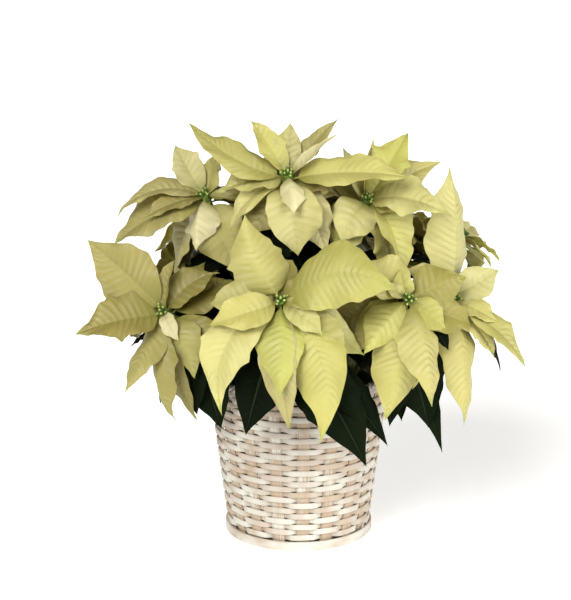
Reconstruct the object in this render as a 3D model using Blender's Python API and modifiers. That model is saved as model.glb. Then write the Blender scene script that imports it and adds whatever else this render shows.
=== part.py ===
"""A cream poinsettia with thirteen blooms, in its grower's pot inside a whitewashed woven basket.

Metres, +Z up. The origin is on the basket's axis, level with its underside. The front faces -Y.
Offsets within a bloom are given as the eye meets them from the front, a little above the plant:
to the right, up, and towards the viewer.
"""

import itertools
import math
import random
from dataclasses import dataclass, replace

import bmesh
import bpy
from mathutils import Quaternion, Vector
from mathutils.bvhtree import BVHTree

MM = 0.001
CLEARANCE = 0.3 * MM
SEED = 27

# Basket
STAKES = 18
ROW_PITCH = 5.97 * MM
ROWS = 26
BASE_RADIUS = 69.2 * MM
WALL_FLARE = 0.132
WALL_THICKNESS = 4.0 * MM
WEAVE_RELIEF = 1.3 * MM
WALL_FOOT = 0.6 * MM
PLAIN_FOOT_HEIGHT = 10.5 * MM
BOARD_THICKNESS = 6.0 * MM
HOOP_HEIGHT = 9.5 * MM
HOOP_THICKNESS = 2.6 * MM
RIM_HEIGHT = 9.0 * MM
RIM_OVERHANG = 2.4 * MM
RING_SIDES = 36

# Grower's pot and soil
POT_FLOOR_RADIUS = 56 * MM
POT_MOUTH_RADIUS = 75 * MM
POT_HEIGHT = 146 * MM
POT_WALL = 1.6 * MM
POT_LIP = 3.0 * MM
SOIL_DEPTH = 128 * MM
SOIL_CROWN = 4 * MM
POT_SIDES = 24

# Stems
STEM_RADIUS = 3.6 * MM
STEM_DEPTH = 20 * MM
HOLE_RADIUS = 4.7 * MM
STEM_RING = 46 * MM
STEM_SPREAD = 0.42
STEM_UPRIGHT = 0.55
STEM_CURL = 0.38
STEM_PIECES = 7

# Bracts and leaves
BLADE_THICKNESS = 0.8 * MM
STALK_WIDTH = 2.8 * MM
CORE_RADIUS = 5.0 * MM
CORE_LENGTH = 13 * MM
CYATHIUM_RADIUS = 2.3 * MM
CYATHIUM_LENGTH = 7.5 * MM
OUTER_CYATHIA = 4

# The way the plant is seen from the front
VIEW_ELEVATION = math.radians(18.5)
RIGHT = Vector((1, 0, 0))
UP = Vector((0, math.sin(VIEW_ELEVATION), math.cos(VIEW_ELEVATION)))
TOWARD = Vector((0, -math.cos(VIEW_ELEVATION), math.sin(VIEW_ELEVATION)))

PALETTE = {
    "cream_bract": ((0.80, 0.76, 0.42, 1), 0.55),
    "green_leaf": ((0.012, 0.025, 0.010, 1), 0.40),
    "cyathia": ((0.24, 0.36, 0.06, 1), 0.45),
    "whitewashed_willow": ((0.62, 0.54, 0.44, 1), 0.75),
    "pot_plastic": ((0.05, 0.10, 0.06, 1), 0.45),
    "potting_soil": ((0.05, 0.035, 0.025, 1), 0.95),
}


@dataclass(frozen=True)
class Blade:
    """A bract or leaf. Angles are in degrees, bend is a share of the length; the rest is in metres."""

    root: Vector
    tip: Vector
    facing: Vector
    width: float
    rise: float = 14
    droop: float = 24
    roll: float = 0
    fold: float = 8
    lobe: float = 0.0
    stalk: float = 0.0
    bend: float = 0.0


@dataclass(frozen=True)
class Bract:
    """A bract's tip, measured from the middle of its bloom, in millimetres; angles in degrees."""

    right: float
    up: float
    toward: float
    width: float
    rise: float = 14
    droop: float = 24
    roll: float = 0
    fold: float = 8
    lobe: float = 0.0
    bend: float = 0.0


@dataclass(frozen=True)
class Bloom:
    """Where a bloom's middle is, in millimetres, and which way it faces."""

    centre: tuple
    facing: tuple
    bracts: tuple
    leaves: tuple = ()
    spread_leaves: int = 1


LEAVES_UNDER_TOP = 3

BLOOMS = {
    "front": Bloom(
        (-18, -128, 284),
        (0.0, -0.76, 0.65),
        (
            Bract(50, -7, 14, 14, fold=30),
            Bract(-35, 83, -12, 62, fold=-16, rise=8, droop=8, lobe=0.12, bend=-0.05),
            Bract(112, 6, 20, 68, rise=28, droop=36, fold=-5, bend=-0.2),
            Bract(41, -29, 20, 26, rise=30, droop=40),
            Bract(-70, -25, 12, 36, rise=18, droop=26),
            Bract(38, -134, 22, 62, rise=38, droop=24, fold=-14, bend=-0.24),
            Bract(75, -72, 4, 56, rise=34, droop=52),
            Bract(-1, -98, 14, 48, rise=38, droop=24, fold=-12),
            Bract(-57, -112, 2, 46, rise=44, droop=34, lobe=0.1, bend=0.3),
            Bract(82, -40, -6, 42),
            Bract(-70, 2, -10, 46),
            Bract(9, -126, -10, 36, rise=30),
        ),
        ((-34, -128, -6, 52), (84, -145, -2, 62), (20, -100, -20, 50), (105, -125, -14, 40)),
    ),
    "left": Bloom(
        (-134, -72, 253),
        (-0.58, -0.62, 0.53),
        (
            Bract(7, -24, 24, 18, rise=50),
            Bract(-75, 71, -12, 56, fold=4),
            Bract(9, 56, 4, 20, fold=30),
            Bract(-81, -25, 0, 50, lobe=0.2),
            Bract(56, 38, -4, 38, bend=-0.15),
            Bract(16, -58, 16, 42, rise=46, droop=36, fold=-12, bend=-0.2),
            Bract(-37, -79, 10, 38, fold=-10),
            Bract(8, -104, 6, 34, fold=-14),
            Bract(24, -103, -20, 26, rise=8),
            Bract(32, 54, -26, 42),
            Bract(-18, 4, -62, 44),
        ),
        ((24, -104, -10, 46), (-26, -84, -12, 20), (48, -104, -16, 44)),
    ),
    "upper_left": Bloom(
        (-93, -18, 357),
        (-0.36, -0.38, 0.85),
        (
            Bract(40, -8, 8, 14, fold=24),
            Bract(-30, 50, -36, 28, lobe=0.2),
            Bract(-8, -56, 18, 44, rise=36, droop=20, fold=-20),
            Bract(-60, -24, 12, 28, rise=26),
            Bract(-86, -21, -5, 26, rise=32, droop=34, bend=0.1),
            Bract(14, 40, -16, 26),
            Bract(46, 6, -12, 24),
            Bract(-90, -49, -14, 62, rise=26, droop=20),
            Bract(32, -76, -4, 50, rise=30),
            Bract(-34, -72, -26, 44, rise=30),
            Bract(-34, 8, -66, 46),
            Bract(30, 8, -68, 46),
        ),
        spread_leaves=LEAVES_UNDER_TOP,
    ),
    "top": Bloom(
        (-11, -38, 384),
        (0.0, -0.40, 0.92),
        (
            Bract(6, -40, 24, 28, rise=46, droop=36, fold=-18, lobe=0.2),
            Bract(-37, 54, -12, 31, fold=14),
            Bract(3, 51, -20, 29),
            Bract(51, 62, -16, 21),
            Bract(48, 33, -4, 14, fold=24),
            Bract(-98, 51, -14, 38, fold=4, bend=-0.2),
            Bract(-71, -18, 2, 38, rise=22),
            Bract(122, -4, -2, 46, rise=22, droop=24),
            Bract(-56, -56, 6, 26, rise=36, droop=44, bend=0.1),
            Bract(10, -80, 4, 56, rise=34, droop=24),
            Bract(38, -72, -8, 42, rise=34),
            Bract(26, 8, -76, 46),
            Bract(-46, 4, -62, 46),
        ),
        spread_leaves=LEAVES_UNDER_TOP,
    ),
    "upper_right": Bloom(
        (68, -22, 353),
        (0.30, -0.42, 0.86),
        (
            Bract(36, 6, 12, 28, rise=16, droop=40),
            Bract(38, -68, 26, 54, rise=50, droop=26, fold=14, bend=-0.08),
            Bract(-26, -42, 16, 46, rise=44, droop=34, bend=0.12),
            Bract(28, -76, -8, 46, rise=42, droop=24, lobe=0.2),
            Bract(77, -14, 14, 54, rise=36, fold=10, bend=-0.1),
            Bract(78, 16, -26, 34),
            Bract(36, 56, -40, 36, lobe=0.3),
            Bract(76, 44, -48, 32, lobe=0.2),
            Bract(6, 62, -24, 16, fold=24),
            Bract(-22, 58, -26, 18),
            Bract(-36, -50, -4, 46, rise=30),
            Bract(8, 6, -78, 46),
            Bract(56, -4, -58, 44),
        ),
        spread_leaves=LEAVES_UNDER_TOP,
    ),
    "right": Bloom(
        (107, -96, 275),
        (0.15, -0.84, 0.52),
        (
            Bract(-22, 16, 6, 14),
            Bract(-44, -55, 14, 44, rise=42, droop=38, fold=-16),
            Bract(23, -106, 12, 48, rise=34, fold=-14),
            Bract(38, -34, -14, 28, lobe=0.2),
            Bract(-23, -120, -4, 56, rise=32, fold=-10),
            Bract(-8, 28, -12, 20),
            Bract(-44, 34, -24, 46),
        ),
        ((-18, -126, -12, 44), (22, -121, -16, 60), (38, -137, -8, 24), (-5, -118, -30, 40)),
    ),
    "far_right": Bloom(
        (152, -50, 262),
        (0.62, -0.55, 0.56),
        (
            Bract(3, -35, 20, 15, rise=12),
            Bract(-51, 25, 12, 42, fold=-8),
            Bract(46, 26, -22, 33),
            Bract(-8, 125, -12, 62, rise=6, droop=6, fold=-14, bend=0.06),
            Bract(52, -25, 2, 24),
            Bract(11, -128, 10, 46, rise=24, fold=-10, bend=0.06),
            Bract(42, -62, -10, 30, lobe=0.25),
            Bract(77, -67, -8, 26, lobe=0.2),
            Bract(65, -28, -18, 28),
            Bract(-43, 30, -14, 30),
            Bract(22, 0, -58, 44),
        ),
        ((6, -104, -18, 26),),
        spread_leaves=2,
    ),
    "right_rear": Bloom(
        (164, 50, 295),
        (0.62, 0.30, 0.72),
        (
            Bract(38, -28, 0, 24),
            Bract(29, -34, 10, 20),
            Bract(16, 14, -30, 26),
            Bract(2, -10, -70, 46),
            Bract(-42, 6, -52, 42),
            Bract(30, -24, -56, 36),
            Bract(12, -60, -24, 42),
        ),
        spread_leaves=3,
    ),
}

# Blooms that the front hides are laid out evenly: middle, facing, length of the longest bract
REAR_BLOOMS = {
    "left_rear": ((-124, 56, 262), (-0.72, 0.42, 0.55), 80),
    "back_left": ((-84, 112, 288), (-0.38, 0.68, 0.62), 84),
    "back": ((12, 134, 282), (0.02, 0.78, 0.62), 88),
    "back_right": ((98, 112, 288), (0.38, 0.68, 0.62), 84),
    "crown_rear": ((-6, 58, 346), (-0.04, 0.40, 0.92), 88),
}
REAR_BRACTS = 8
REAR_LEAVES = 3
REAR_BRACT_WIDTHS = (0.55, 0.68)
GOLDEN_ANGLE = math.radians(137.5)

# Leaves: where they leave the stem as shares of its path, and how they hang
FIRST_SHOWN_LEAF = 0.86
SHOWN_LEAF_STEP = 0.07
FIRST_SPREAD_LEAF = 0.90
SPREAD_LEAF_STEP = 0.08
LEAF_LENGTHS = (76, 92)
LEAF_WIDTH = 0.52
LEAF_OUT = 0.86
LEAF_FALL = 0.42
LEAF_LOBE = 0.1

# How far a blade may be bent to pass its neighbours, in order of trial
TIP_SHIFTS = (0, 8, -8, 16, -16, 26, -26, 38, -38)
BOW_SHIFTS = (0, 12, -12, 24)
ROLL_SHIFTS = (0, 14, -14)
SHARES_OF_LENGTH = (1.0, 0.85, 0.7)


def clear_scene():
    for obj in list(bpy.data.objects):
        bpy.data.objects.remove(obj)


def new_collection(name):
    collection = bpy.data.collections.new(name)
    bpy.context.scene.collection.children.link(collection)
    return collection


def finish(name):
    """The plain material of one kind of piece."""
    if name in bpy.data.materials:
        return bpy.data.materials[name]
    colour, roughness = PALETTE[name]
    material = bpy.data.materials.new(name)
    material.use_nodes = True
    shader = material.node_tree.nodes["Principled BSDF"]
    shader.inputs["Base Color"].default_value = colour
    shader.inputs["Roughness"].default_value = roughness
    shader.inputs["Metallic"].default_value = 0.0
    material.diffuse_color = colour
    return material


def add_object(name, mesh, collection, material):
    obj = bpy.data.objects.new(name, mesh)
    mesh.materials.append(finish(material))
    collection.objects.link(obj)
    return obj


def mesh_from(name, points, faces):
    mesh = bpy.data.meshes.new(name)
    mesh.from_pydata([tuple(p) for p in points], [], faces)
    mesh.update()
    return mesh


# Blades: each is a midrib that arches from root to tip, with a pointed outline about it

SMALL_STATIONS = (0.30, 0.64)
LARGE_STATIONS = (0.24, 0.50, 0.77)
LARGE_WIDTH = 42 * MM
BRACT_STALK = 0.08
LEAF_STALK = 0.18
OUTLINE_SWELL = 0.65
OUTLINE_POINT = 1.05
WAVES = (2.0, -1.6, 1.4)


def stations(blade):
    """Where the blade is cut across: shares of the midrib and of the leafy part, and the edges' wave."""
    inner = LARGE_STATIONS if blade.width > LARGE_WIDTH else SMALL_STATIONS
    leafy = [(blade.stalk + (1 - blade.stalk) * s, s, wave) for s, wave in zip(inner, WAVES)]
    return [(0, 0, 0), (blade.stalk, 0, 0), *leafy]


def outline(share):
    """Half the blade's width at a share of its length, as a share of its widest half."""
    widest = OUTLINE_SWELL / (OUTLINE_SWELL + OUTLINE_POINT)
    peak = widest**OUTLINE_SWELL * (1 - widest) ** OUTLINE_POINT
    return share**OUTLINE_SWELL * (1 - share) ** OUTLINE_POINT / peak


def midrib(blade):
    """The four control points of the midrib, and the way across the blade."""
    chord = blade.tip - blade.root
    along = chord.normalized()
    lift = blade.facing - blade.facing.dot(along) * along
    lift = Quaternion(along, math.radians(blade.roll)) @ lift.normalized()
    reach = chord.length / 3
    rise, droop = math.radians(blade.rise), math.radians(blade.droop)
    near = blade.root + reach * (math.cos(rise) * along + math.sin(rise) * lift)
    far = blade.tip - reach * (math.cos(droop) * along - math.sin(droop) * lift)
    across = along.cross(lift)
    sideways = blade.bend * chord.length * across
    return (blade.root, near + sideways, far + sideways, blade.tip), across


def bezier(points, t):
    """The point and the unit tangent at t."""
    a, b, c, d = points
    s = 1 - t
    place = s**3 * a + 3 * s * s * t * b + 3 * s * t * t * c + t**3 * d
    heading = s * s * (b - a) + 2 * s * t * (c - b) + t * t * (d - c)
    return place, heading.normalized()


def blade_sections(blade, grow=0.0):
    """The six points round the blade at each station, then the two at its tip."""
    points, across = midrib(blade)
    half_thick = BLADE_THICKNESS / 2 + grow
    fold = math.radians(blade.fold)
    ripple = min(1, blade.width / LARGE_WIDTH) * MM
    rings = []
    for share, leafy_share, wave in stations(blade):
        place, heading = bezier(points, share)
        normal = across.cross(heading)
        half = max(blade.width / 2 * outline(leafy_share), STALK_WIDTH / 2) + grow
        if wave < 0:
            half *= 1 + blade.lobe
        sideways, upward = half * math.cos(fold), half * math.sin(fold)
        edges = [
            place + side * sideways * across + (upward + side * wave * ripple) * normal
            for side in (-1, 1)
        ]
        spine = (edges[0], place, edges[1])
        rings.append([p + half_thick * normal for p in spine] + [p - half_thick * normal for p in spine])
    place, heading = bezier(points, 1)
    normal = across.cross(heading)
    return rings, [place + half_thick * normal, place - half_thick * normal]


def strip(lower, upper, flip):
    """Two triangles between two edges; flip turns them over."""
    (a, b), (c, d) = lower, upper
    faces = [(a, b, d), (a, d, c)]
    return [tuple(reversed(f)) for f in faces] if flip else faces


def blade_mesh(blade, grow=0.0, first=0):
    """A closed blade's points and triangles, from the given station on."""
    rings, tip = blade_sections(blade, grow)
    rings = rings[first:]
    points = [p for ring in rings for p in ring] + tip
    faces = []
    for i in range(len(rings) - 1):
        lo, hi = 6 * i, 6 * (i + 1)
        for k in (0, 1):
            faces += strip((lo + k, lo + k + 1), (hi + k, hi + k + 1), False)
            faces += strip((lo + 3 + k, lo + 4 + k), (hi + 3 + k, hi + 4 + k), True)
        faces += strip((lo + 3, lo), (hi + 3, hi), False)
        faces += strip((lo + 2, lo + 5), (hi + 2, hi + 5), False)
    last, top, bottom = 6 * (len(rings) - 1), len(points) - 2, len(points) - 1
    for k in (0, 1):
        faces.append((last + k, last + k + 1, top))
        faces.append((last + 4 + k, last + 3 + k, bottom))
    faces += strip((last + 3, last), (bottom, top), False)
    faces += strip((last + 2, last + 5), (top, bottom), False)
    faces += [(0, 3, 4), (0, 4, 1), (1, 4, 5), (1, 5, 2)]
    return points, faces


# Keeping blades out of each other


def box_of(points):
    return [(min(p[i] for p in points), max(p[i] for p in points)) for i in range(3)]


def boxes_meet(a, b):
    return all(lo < other_hi and other_lo < hi for (lo, hi), (other_lo, other_hi) in zip(a, b))


class Crowd:
    """Everything placed so far, for finding a way between."""

    def __init__(self):
        self.placed = []

    def add(self, node, points, faces, outer_part=False):
        tree = BVHTree.FromPolygons([tuple(p) for p in points], faces)
        self.placed.append((node, outer_part, box_of(points), tree))

    def add_blade(self, node, blade):
        self.add(node, *blade_mesh(blade))
        self.add(node, *blade_mesh(blade, first=1), outer_part=True)

    def meets(self, points, faces, wanted):
        """Whether a mesh meets any placed thing that is wanted."""
        box, tree = box_of(points), None
        for node, outer_part, other_box, other_tree in self.placed:
            if wanted(node, outer_part) and boxes_meet(box, other_box):
                tree = tree or BVHTree.FromPolygons([tuple(p) for p in points], faces)
                if other_tree.overlap(tree):
                    return True
        return False

    def blocks(self, node, blade, own_too):
        """Whether a blade meets another node, or the outer parts of its own node's blades."""
        whole = blade_mesh(blade, grow=CLEARANCE)
        if self.meets(*whole, lambda other, outer_part: other != node and not outer_part):
            return True
        outer = blade_mesh(blade, grow=CLEARANCE, first=1)
        return own_too and self.meets(*outer, lambda other, outer_part: other == node and outer_part)


def effort(way):
    """How far a way of bending a blade takes it from its first form."""
    tip, bow, roll, share = way
    return abs(tip) + abs(bow) + 1.2 * abs(roll) + 160 * (1 - share)


# Tip shift, bow, roll and share of the length, the smallest bends first
BENDS = sorted(itertools.product(TIP_SHIFTS, BOW_SHIFTS, ROLL_SHIFTS, SHARES_OF_LENGTH), key=effort)


def bent(blade, way):
    tip_shift, bow, roll, share = way
    tip = blade.root + share * (blade.tip - blade.root) + tip_shift * MM * blade.facing
    return replace(blade, tip=tip, rise=blade.rise + bow, droop=blade.droop + bow, roll=blade.roll + roll)


def settle(crowd, node, blade):
    """The blade bent clear of its neighbours, or None where there is no room for it."""
    for own_too in (True, False):
        for way in BENDS:
            trial = bent(blade, way)
            if not crowd.blocks(node, trial, own_too):
                crowd.add_blade(node, trial)
                return trial
    return None


def settled(crowd, node, blades):
    """The blades that find room, each bent clear."""
    found = [settle(crowd, node, blade) for blade in blades]
    return [blade for blade in found if blade]


# Stems and blooms


def seen(right, up, toward):
    """An offset in the front view, in millimetres, as a vector in metres."""
    return (right * RIGHT + up * UP + toward * TOWARD) * MM


def rear_bracts(facing, longest, rng):
    """Bracts laid out by the golden angle about the way the bloom faces."""
    side = facing.cross(Vector((0, 0, 1))).normalized()
    level = side.cross(facing)
    tips = []
    for index in range(REAR_BRACTS):
        turn = index * GOLDEN_ANGLE
        length = longest * (0.55 + 0.45 * index / (REAR_BRACTS - 1)) * MM
        out = math.cos(turn) * side + math.sin(turn) * level
        if out.z > 0.3:
            length *= 0.8
        drop = Vector((0, 0, -0.22 * length)) if index > 2 else 0.25 * length * facing
        width = length * rng.uniform(*REAR_BRACT_WIDTHS)
        tips.append((length * out + drop, width))
    return tips


def bract_blades(centre, facing, bloom, rng):
    """The bracts of one bloom before they are bent clear, from the middle outwards."""
    if isinstance(bloom, Bloom):
        shapes = [
            (seen(b.right, b.up, b.toward), b.width * MM, b.rise, b.droop, b.roll, b.fold, b.lobe, b.bend)
            for b in bloom.bracts
        ]
    else:
        shapes = [(tip, width, 22, 26, 0, 6, 0, 0) for tip, width in rear_bracts(facing, bloom, rng)]
    blades = []
    spacing = (CORE_LENGTH - 4 * MM) / len(shapes)
    for index, (offset, width, rise, droop, roll, fold, lobe, bend) in enumerate(shapes):
        out = (offset - offset.dot(facing) * facing).normalized()
        root = centre - (2 * MM + index * spacing) * facing + 1.5 * MM * out
        tip = centre + offset
        blades.append(Blade(root, tip, facing, width, rise, droop, roll, fold, lobe, BRACT_STALK, bend))
    return blades


def stem_path(centre, facing, soil_top):
    """Control points of a stem from its place in the soil to its bloom."""
    level = Vector((centre.x, centre.y, 0))
    foot = level.normalized() * min(STEM_RING, STEM_SPREAD * level.length)
    foot.z = soil_top - STEM_DEPTH
    top = centre - (CORE_LENGTH + CLEARANCE) * facing
    upright = foot + Vector((0, 0, STEM_UPRIGHT * (top.z - foot.z)))
    return foot, upright, top - STEM_CURL * (top - foot).length * facing, top


def shown_leaves(path, centre, facing, leaves):
    """The leaves that show at the front, each given by its tip and width in the front view."""
    blades = []
    look = (facing + Vector((0, -0.4, 0.6))).normalized()
    for index, (right, up, toward, width) in enumerate(leaves):
        root, _ = bezier(path, FIRST_SHOWN_LEAF - SHOWN_LEAF_STEP * index)
        tip = centre + seen(right, up, toward)
        blades.append(Blade(root, tip, look, width * MM, 26, 30, 0, 8, LEAF_LOBE, LEAF_STALK))
    return blades


def spread_leaves(path, centre, count, rng):
    """Leaves laid out by the golden angle round the stem."""
    blades = []
    outward = Vector((centre.x, centre.y, 0)).normalized()
    for index in range(count):
        root, _ = bezier(path, FIRST_SPREAD_LEAF - SPREAD_LEAF_STEP * index)
        turn = index * GOLDEN_ANGLE + rng.uniform(-0.3, 0.3)
        way = Quaternion((0, 0, 1), turn) @ outward
        length = rng.uniform(*LEAF_LENGTHS) * MM
        tip = root + length * (LEAF_OUT * way - Vector((0, 0, LEAF_FALL)))
        look = (way * 0.35 + Vector((0, 0, 1))).normalized()
        blades.append(Blade(root, tip, look, length * LEAF_WIDTH, 24, 26, 0, 6, LEAF_LOBE, LEAF_STALK))
    return blades


def leaf_blades(path, bloom, centre, facing, rng):
    """A stem's leaves: those that show at the front, then an even few round it."""
    if isinstance(bloom, Bloom):
        shown = shown_leaves(path, centre, facing, bloom.leaves)
        return shown + spread_leaves(path, centre, bloom.spread_leaves, rng)
    return spread_leaves(path, centre, REAR_LEAVES, rng)


def stem_tube(name, path, collection):
    """A round stem along its path, as a mesh."""
    curve = bpy.data.curves.new(name, "CURVE")
    curve.dimensions = "3D"
    curve.bevel_depth = STEM_RADIUS
    curve.bevel_resolution = 1
    curve.resolution_u = STEM_PIECES
    curve.use_fill_caps = True
    spline = curve.splines.new("BEZIER")
    spline.bezier_points.add(1)
    first, last = spline.bezier_points
    foot, near, far, top = path
    first.co, first.handle_left, first.handle_right = foot, 2 * foot - near, near
    last.co, last.handle_left, last.handle_right = top, far, 2 * top - far
    obj = bpy.data.objects.new(name + "_path", curve)
    collection.objects.link(obj)
    bpy.context.view_layer.update()
    mesh = bpy.data.meshes.new_from_object(obj.evaluated_get(bpy.context.evaluated_depsgraph_get()))
    mesh.name = name
    bpy.data.objects.remove(obj)
    bm = bmesh.new()
    bm.from_mesh(mesh)
    bmesh.ops.remove_doubles(bm, verts=bm.verts, dist=0.01 * MM)
    bmesh.ops.recalc_face_normals(bm, faces=bm.faces)
    bm.to_mesh(mesh)
    bm.free()
    return mesh


def turned_along(bm, verts, centre, direction):
    """Turns new verts from +Z to a direction and moves them to their place."""
    turn = Vector((0, 0, 1)).rotation_difference(direction)
    for vert in verts:
        vert.co = centre + turn @ vert.co


def core_mesh(centre, facing):
    """The short green-cream column that the bracts grow from."""
    bm = bmesh.new()
    made = bmesh.ops.create_cone(
        bm,
        cap_ends=True,
        segments=6,
        radius1=0.8 * CORE_RADIUS,
        radius2=CORE_RADIUS,
        depth=CORE_LENGTH,
    )
    turned_along(bm, made["verts"], centre - 0.5 * CORE_LENGTH * facing, facing)
    mesh = bpy.data.meshes.new("core")
    bm.to_mesh(mesh)
    bm.free()
    return mesh


def bud_mesh(place, direction, scale):
    """One egg-shaped cyathium with a blunt top."""
    bm = bmesh.new()
    made = bmesh.ops.create_uvsphere(bm, u_segments=4, v_segments=2, radius=1)
    for vert in made["verts"]:
        vert.co.x *= CYATHIUM_RADIUS * scale
        vert.co.y *= CYATHIUM_RADIUS * scale
        vert.co.z *= CYATHIUM_LENGTH / 2 * scale
    turned_along(bm, made["verts"], place, direction)
    mesh = bpy.data.meshes.new("bud")
    bm.to_mesh(mesh)
    bm.free()
    return mesh


def cyathia_meshes(centre, facing, rng):
    """A small pad and the buds that stand on it."""
    bm = bmesh.new()
    made = bmesh.ops.create_cone(
        bm, cap_ends=True, segments=6, radius1=4.2 * MM, radius2=3.4 * MM, depth=2 * MM
    )
    base = centre + (CLEARANCE + 1 * MM) * facing
    turned_along(bm, made["verts"], base, facing)
    pad = bpy.data.meshes.new("pad")
    bm.to_mesh(pad)
    bm.free()
    side = facing.orthogonal().normalized()
    other = facing.cross(side)
    buds = [bud_mesh(base + 3.4 * MM * facing, facing, 1.0)]
    for index in range(OUTER_CYATHIA):
        turn = math.tau * index / OUTER_CYATHIA + rng.uniform(-0.2, 0.2)
        out = math.cos(turn) * side + math.sin(turn) * other
        lean = (facing + 0.75 * out).normalized()
        buds.append(bud_mesh(base + 2.7 * MM * out + 2.4 * MM * lean, lean, rng.uniform(0.8, 1.05)))
    return pad, buds


def island_of(start):
    """The faces joined to this one by edges."""
    found, waiting = {start}, [start]
    while waiting:
        for edge in waiting.pop().edges:
            fresh = [face for face in edge.link_faces if face not in found]
            found.update(fresh)
            waiting += fresh
    return found


def signed_volume(faces):
    total = 0.0
    for face in faces:
        first = face.verts[0].co
        for a, b in zip(face.verts[1:], face.verts[2:]):
            total += first.dot(a.co.cross(b.co)) / 6
    return total


def keep_outer_body(mesh):
    """Fills hollows that the joining sealed, and drops loose scraps."""
    bm = bmesh.new()
    bm.from_mesh(mesh)
    left = set(bm.faces)
    islands = []
    while left:
        island = island_of(next(iter(left)))
        left -= island
        islands.append(island)
    islands.sort(key=signed_volume)
    extra = [face for island in islands[:-1] for face in island]
    bmesh.ops.delete(bm, geom=extra, context="FACES")
    bm.to_mesh(mesh)
    bm.free()


def fused(name, body, repeats, collection, material):
    """One closed body of a mesh and what grows from it."""
    obj = add_object(name, body, collection, material)
    helpers = bpy.data.collections.new(name + "_repeats")
    bpy.context.scene.collection.children.link(helpers)
    for mesh in repeats:
        helpers.objects.link(bpy.data.objects.new(mesh.name, mesh))
    union = obj.modifiers.new("join", "BOOLEAN")
    union.operation = "UNION"
    union.operand_type = "COLLECTION"
    union.collection = helpers
    union.solver = "EXACT"
    bpy.context.view_layer.update()
    made = bpy.data.meshes.new_from_object(obj.evaluated_get(bpy.context.evaluated_depsgraph_get()))
    obj.modifiers.remove(union)
    keep_outer_body(made)
    made.name = name
    made.materials.clear()
    made.materials.append(finish(material))
    obj.data = made
    for helper in list(helpers.objects):
        bpy.data.objects.remove(helper)
    bpy.data.collections.remove(helpers)
    return obj


# Basket, pot and soil


def wall_radius(height):
    return BASE_RADIUS + WALL_FLARE * height


def weave_height(row, stake_half):
    """How far the wall stands out: weavers pass over one stake and under the next."""
    if stake_half % 2:
        return 0.0
    over = (row + stake_half // 2) % 2 == 0
    return WEAVE_RELIEF if over else -0.6 * WEAVE_RELIEF


def basket_weave(collection):
    """The tapered wall, woven over and under its stakes."""
    around = 2 * STAKES
    rings = [(WALL_FOOT, None), (PLAIN_FOOT_HEIGHT, None)]
    top = PLAIN_FOOT_HEIGHT + ROWS * ROW_PITCH
    rings += [(PLAIN_FOOT_HEIGHT + (row + 0.5) * ROW_PITCH, row) for row in range(ROWS)]
    rings.append((top, None))
    points, faces = [], []
    for height, row in rings:
        for k in range(around):
            turn = math.tau * k / around
            out = wall_radius(height) + (weave_height(row, k) if row is not None else 0)
            points.append((out * math.cos(turn), out * math.sin(turn), height))
    for height in (top, WALL_FOOT):
        for k in range(around):
            turn = math.tau * k / around
            inner = wall_radius(height) - WALL_THICKNESS
            points.append((inner * math.cos(turn), inner * math.sin(turn), height))
    layers = len(rings) + 2
    for layer in range(layers):
        lower, upper = layer * around, (layer + 1) % layers * around
        for k in range(around):
            nxt = (k + 1) % around
            faces.append((lower + k, lower + nxt, upper + nxt, upper + k))
    add_object("basket_weave", mesh_from("basket_weave", points, faces), collection, "whitewashed_willow")
    return top


def turned(name, profile, collection, material, sides=RING_SIDES):
    """A closed profile turned about the axis; it runs down its outer side."""
    mesh = bpy.data.meshes.new(name)
    count = len(profile)
    edges = [(i, (i + 1) % count) for i in range(count)]
    if profile[0][0] == 0:
        edges.pop()
    mesh.from_pydata([(r, 0, z) for r, z in profile], edges, [])
    obj = add_object(name, mesh, collection, material)
    screw = obj.modifiers.new("turn", "SCREW")
    screw.angle = math.tau
    screw.steps = screw.render_steps = sides
    screw.use_merge_vertices = True
    screw.merge_threshold = 0.01 * MM
    return obj


def basket_hoop(collection):
    """The bent flat strip round the foot."""
    inner = wall_radius(HOOP_HEIGHT) + CLEARANCE + 0.3 * MM
    outer = inner + HOOP_THICKNESS
    bevel = 0.8 * MM
    profile = [
        (outer - bevel, HOOP_HEIGHT),
        (outer, HOOP_HEIGHT - bevel),
        (outer, 0),
        (inner, 0),
        (inner, HOOP_HEIGHT),
    ]
    turned("basket_foot_hoop", profile, collection, "whitewashed_willow")


def basket_board(collection):
    radius = wall_radius(0) - WALL_THICKNESS - CLEARANCE - 0.3 * MM
    profile = [(0, BOARD_THICKNESS), (radius, BOARD_THICKNESS), (radius, 0), (0, 0)]
    turned("basket_base_board", profile, collection, "whitewashed_willow")


def basket_rim(collection, wall_top):
    """The rounded border laid over the wall's top edge."""
    middle = wall_radius(wall_top) - WALL_THICKNESS / 2
    half = WALL_THICKNESS / 2 + RIM_OVERHANG
    foot = wall_top + CLEARANCE
    profile = []
    for index in range(5):
        turn = math.pi * index / 4
        profile.append((middle - half * math.cos(turn), foot + 0.6 * RIM_HEIGHT * math.sin(turn)))
    turned("basket_rim", profile, collection, "whitewashed_willow")


def grower_pot(collection):
    """The thin plastic pot that the plant came in, set down inside the basket."""
    floor = BOARD_THICKNESS + CLEARANCE
    mouth = floor + POT_HEIGHT
    profile = [
        (POT_MOUTH_RADIUS - POT_WALL, mouth),
        (POT_MOUTH_RADIUS + POT_LIP, mouth),
        (POT_MOUTH_RADIUS + POT_LIP, mouth - 2 * POT_LIP),
        (POT_MOUTH_RADIUS, mouth - 2 * POT_LIP),
        (POT_FLOOR_RADIUS, floor),
        (0, floor),
        (0, floor + POT_WALL),
        (POT_FLOOR_RADIUS - POT_WALL, floor + POT_WALL),
    ]
    turned("grower_pot", profile, collection, "pot_plastic", POT_SIDES)
    return floor


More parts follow.
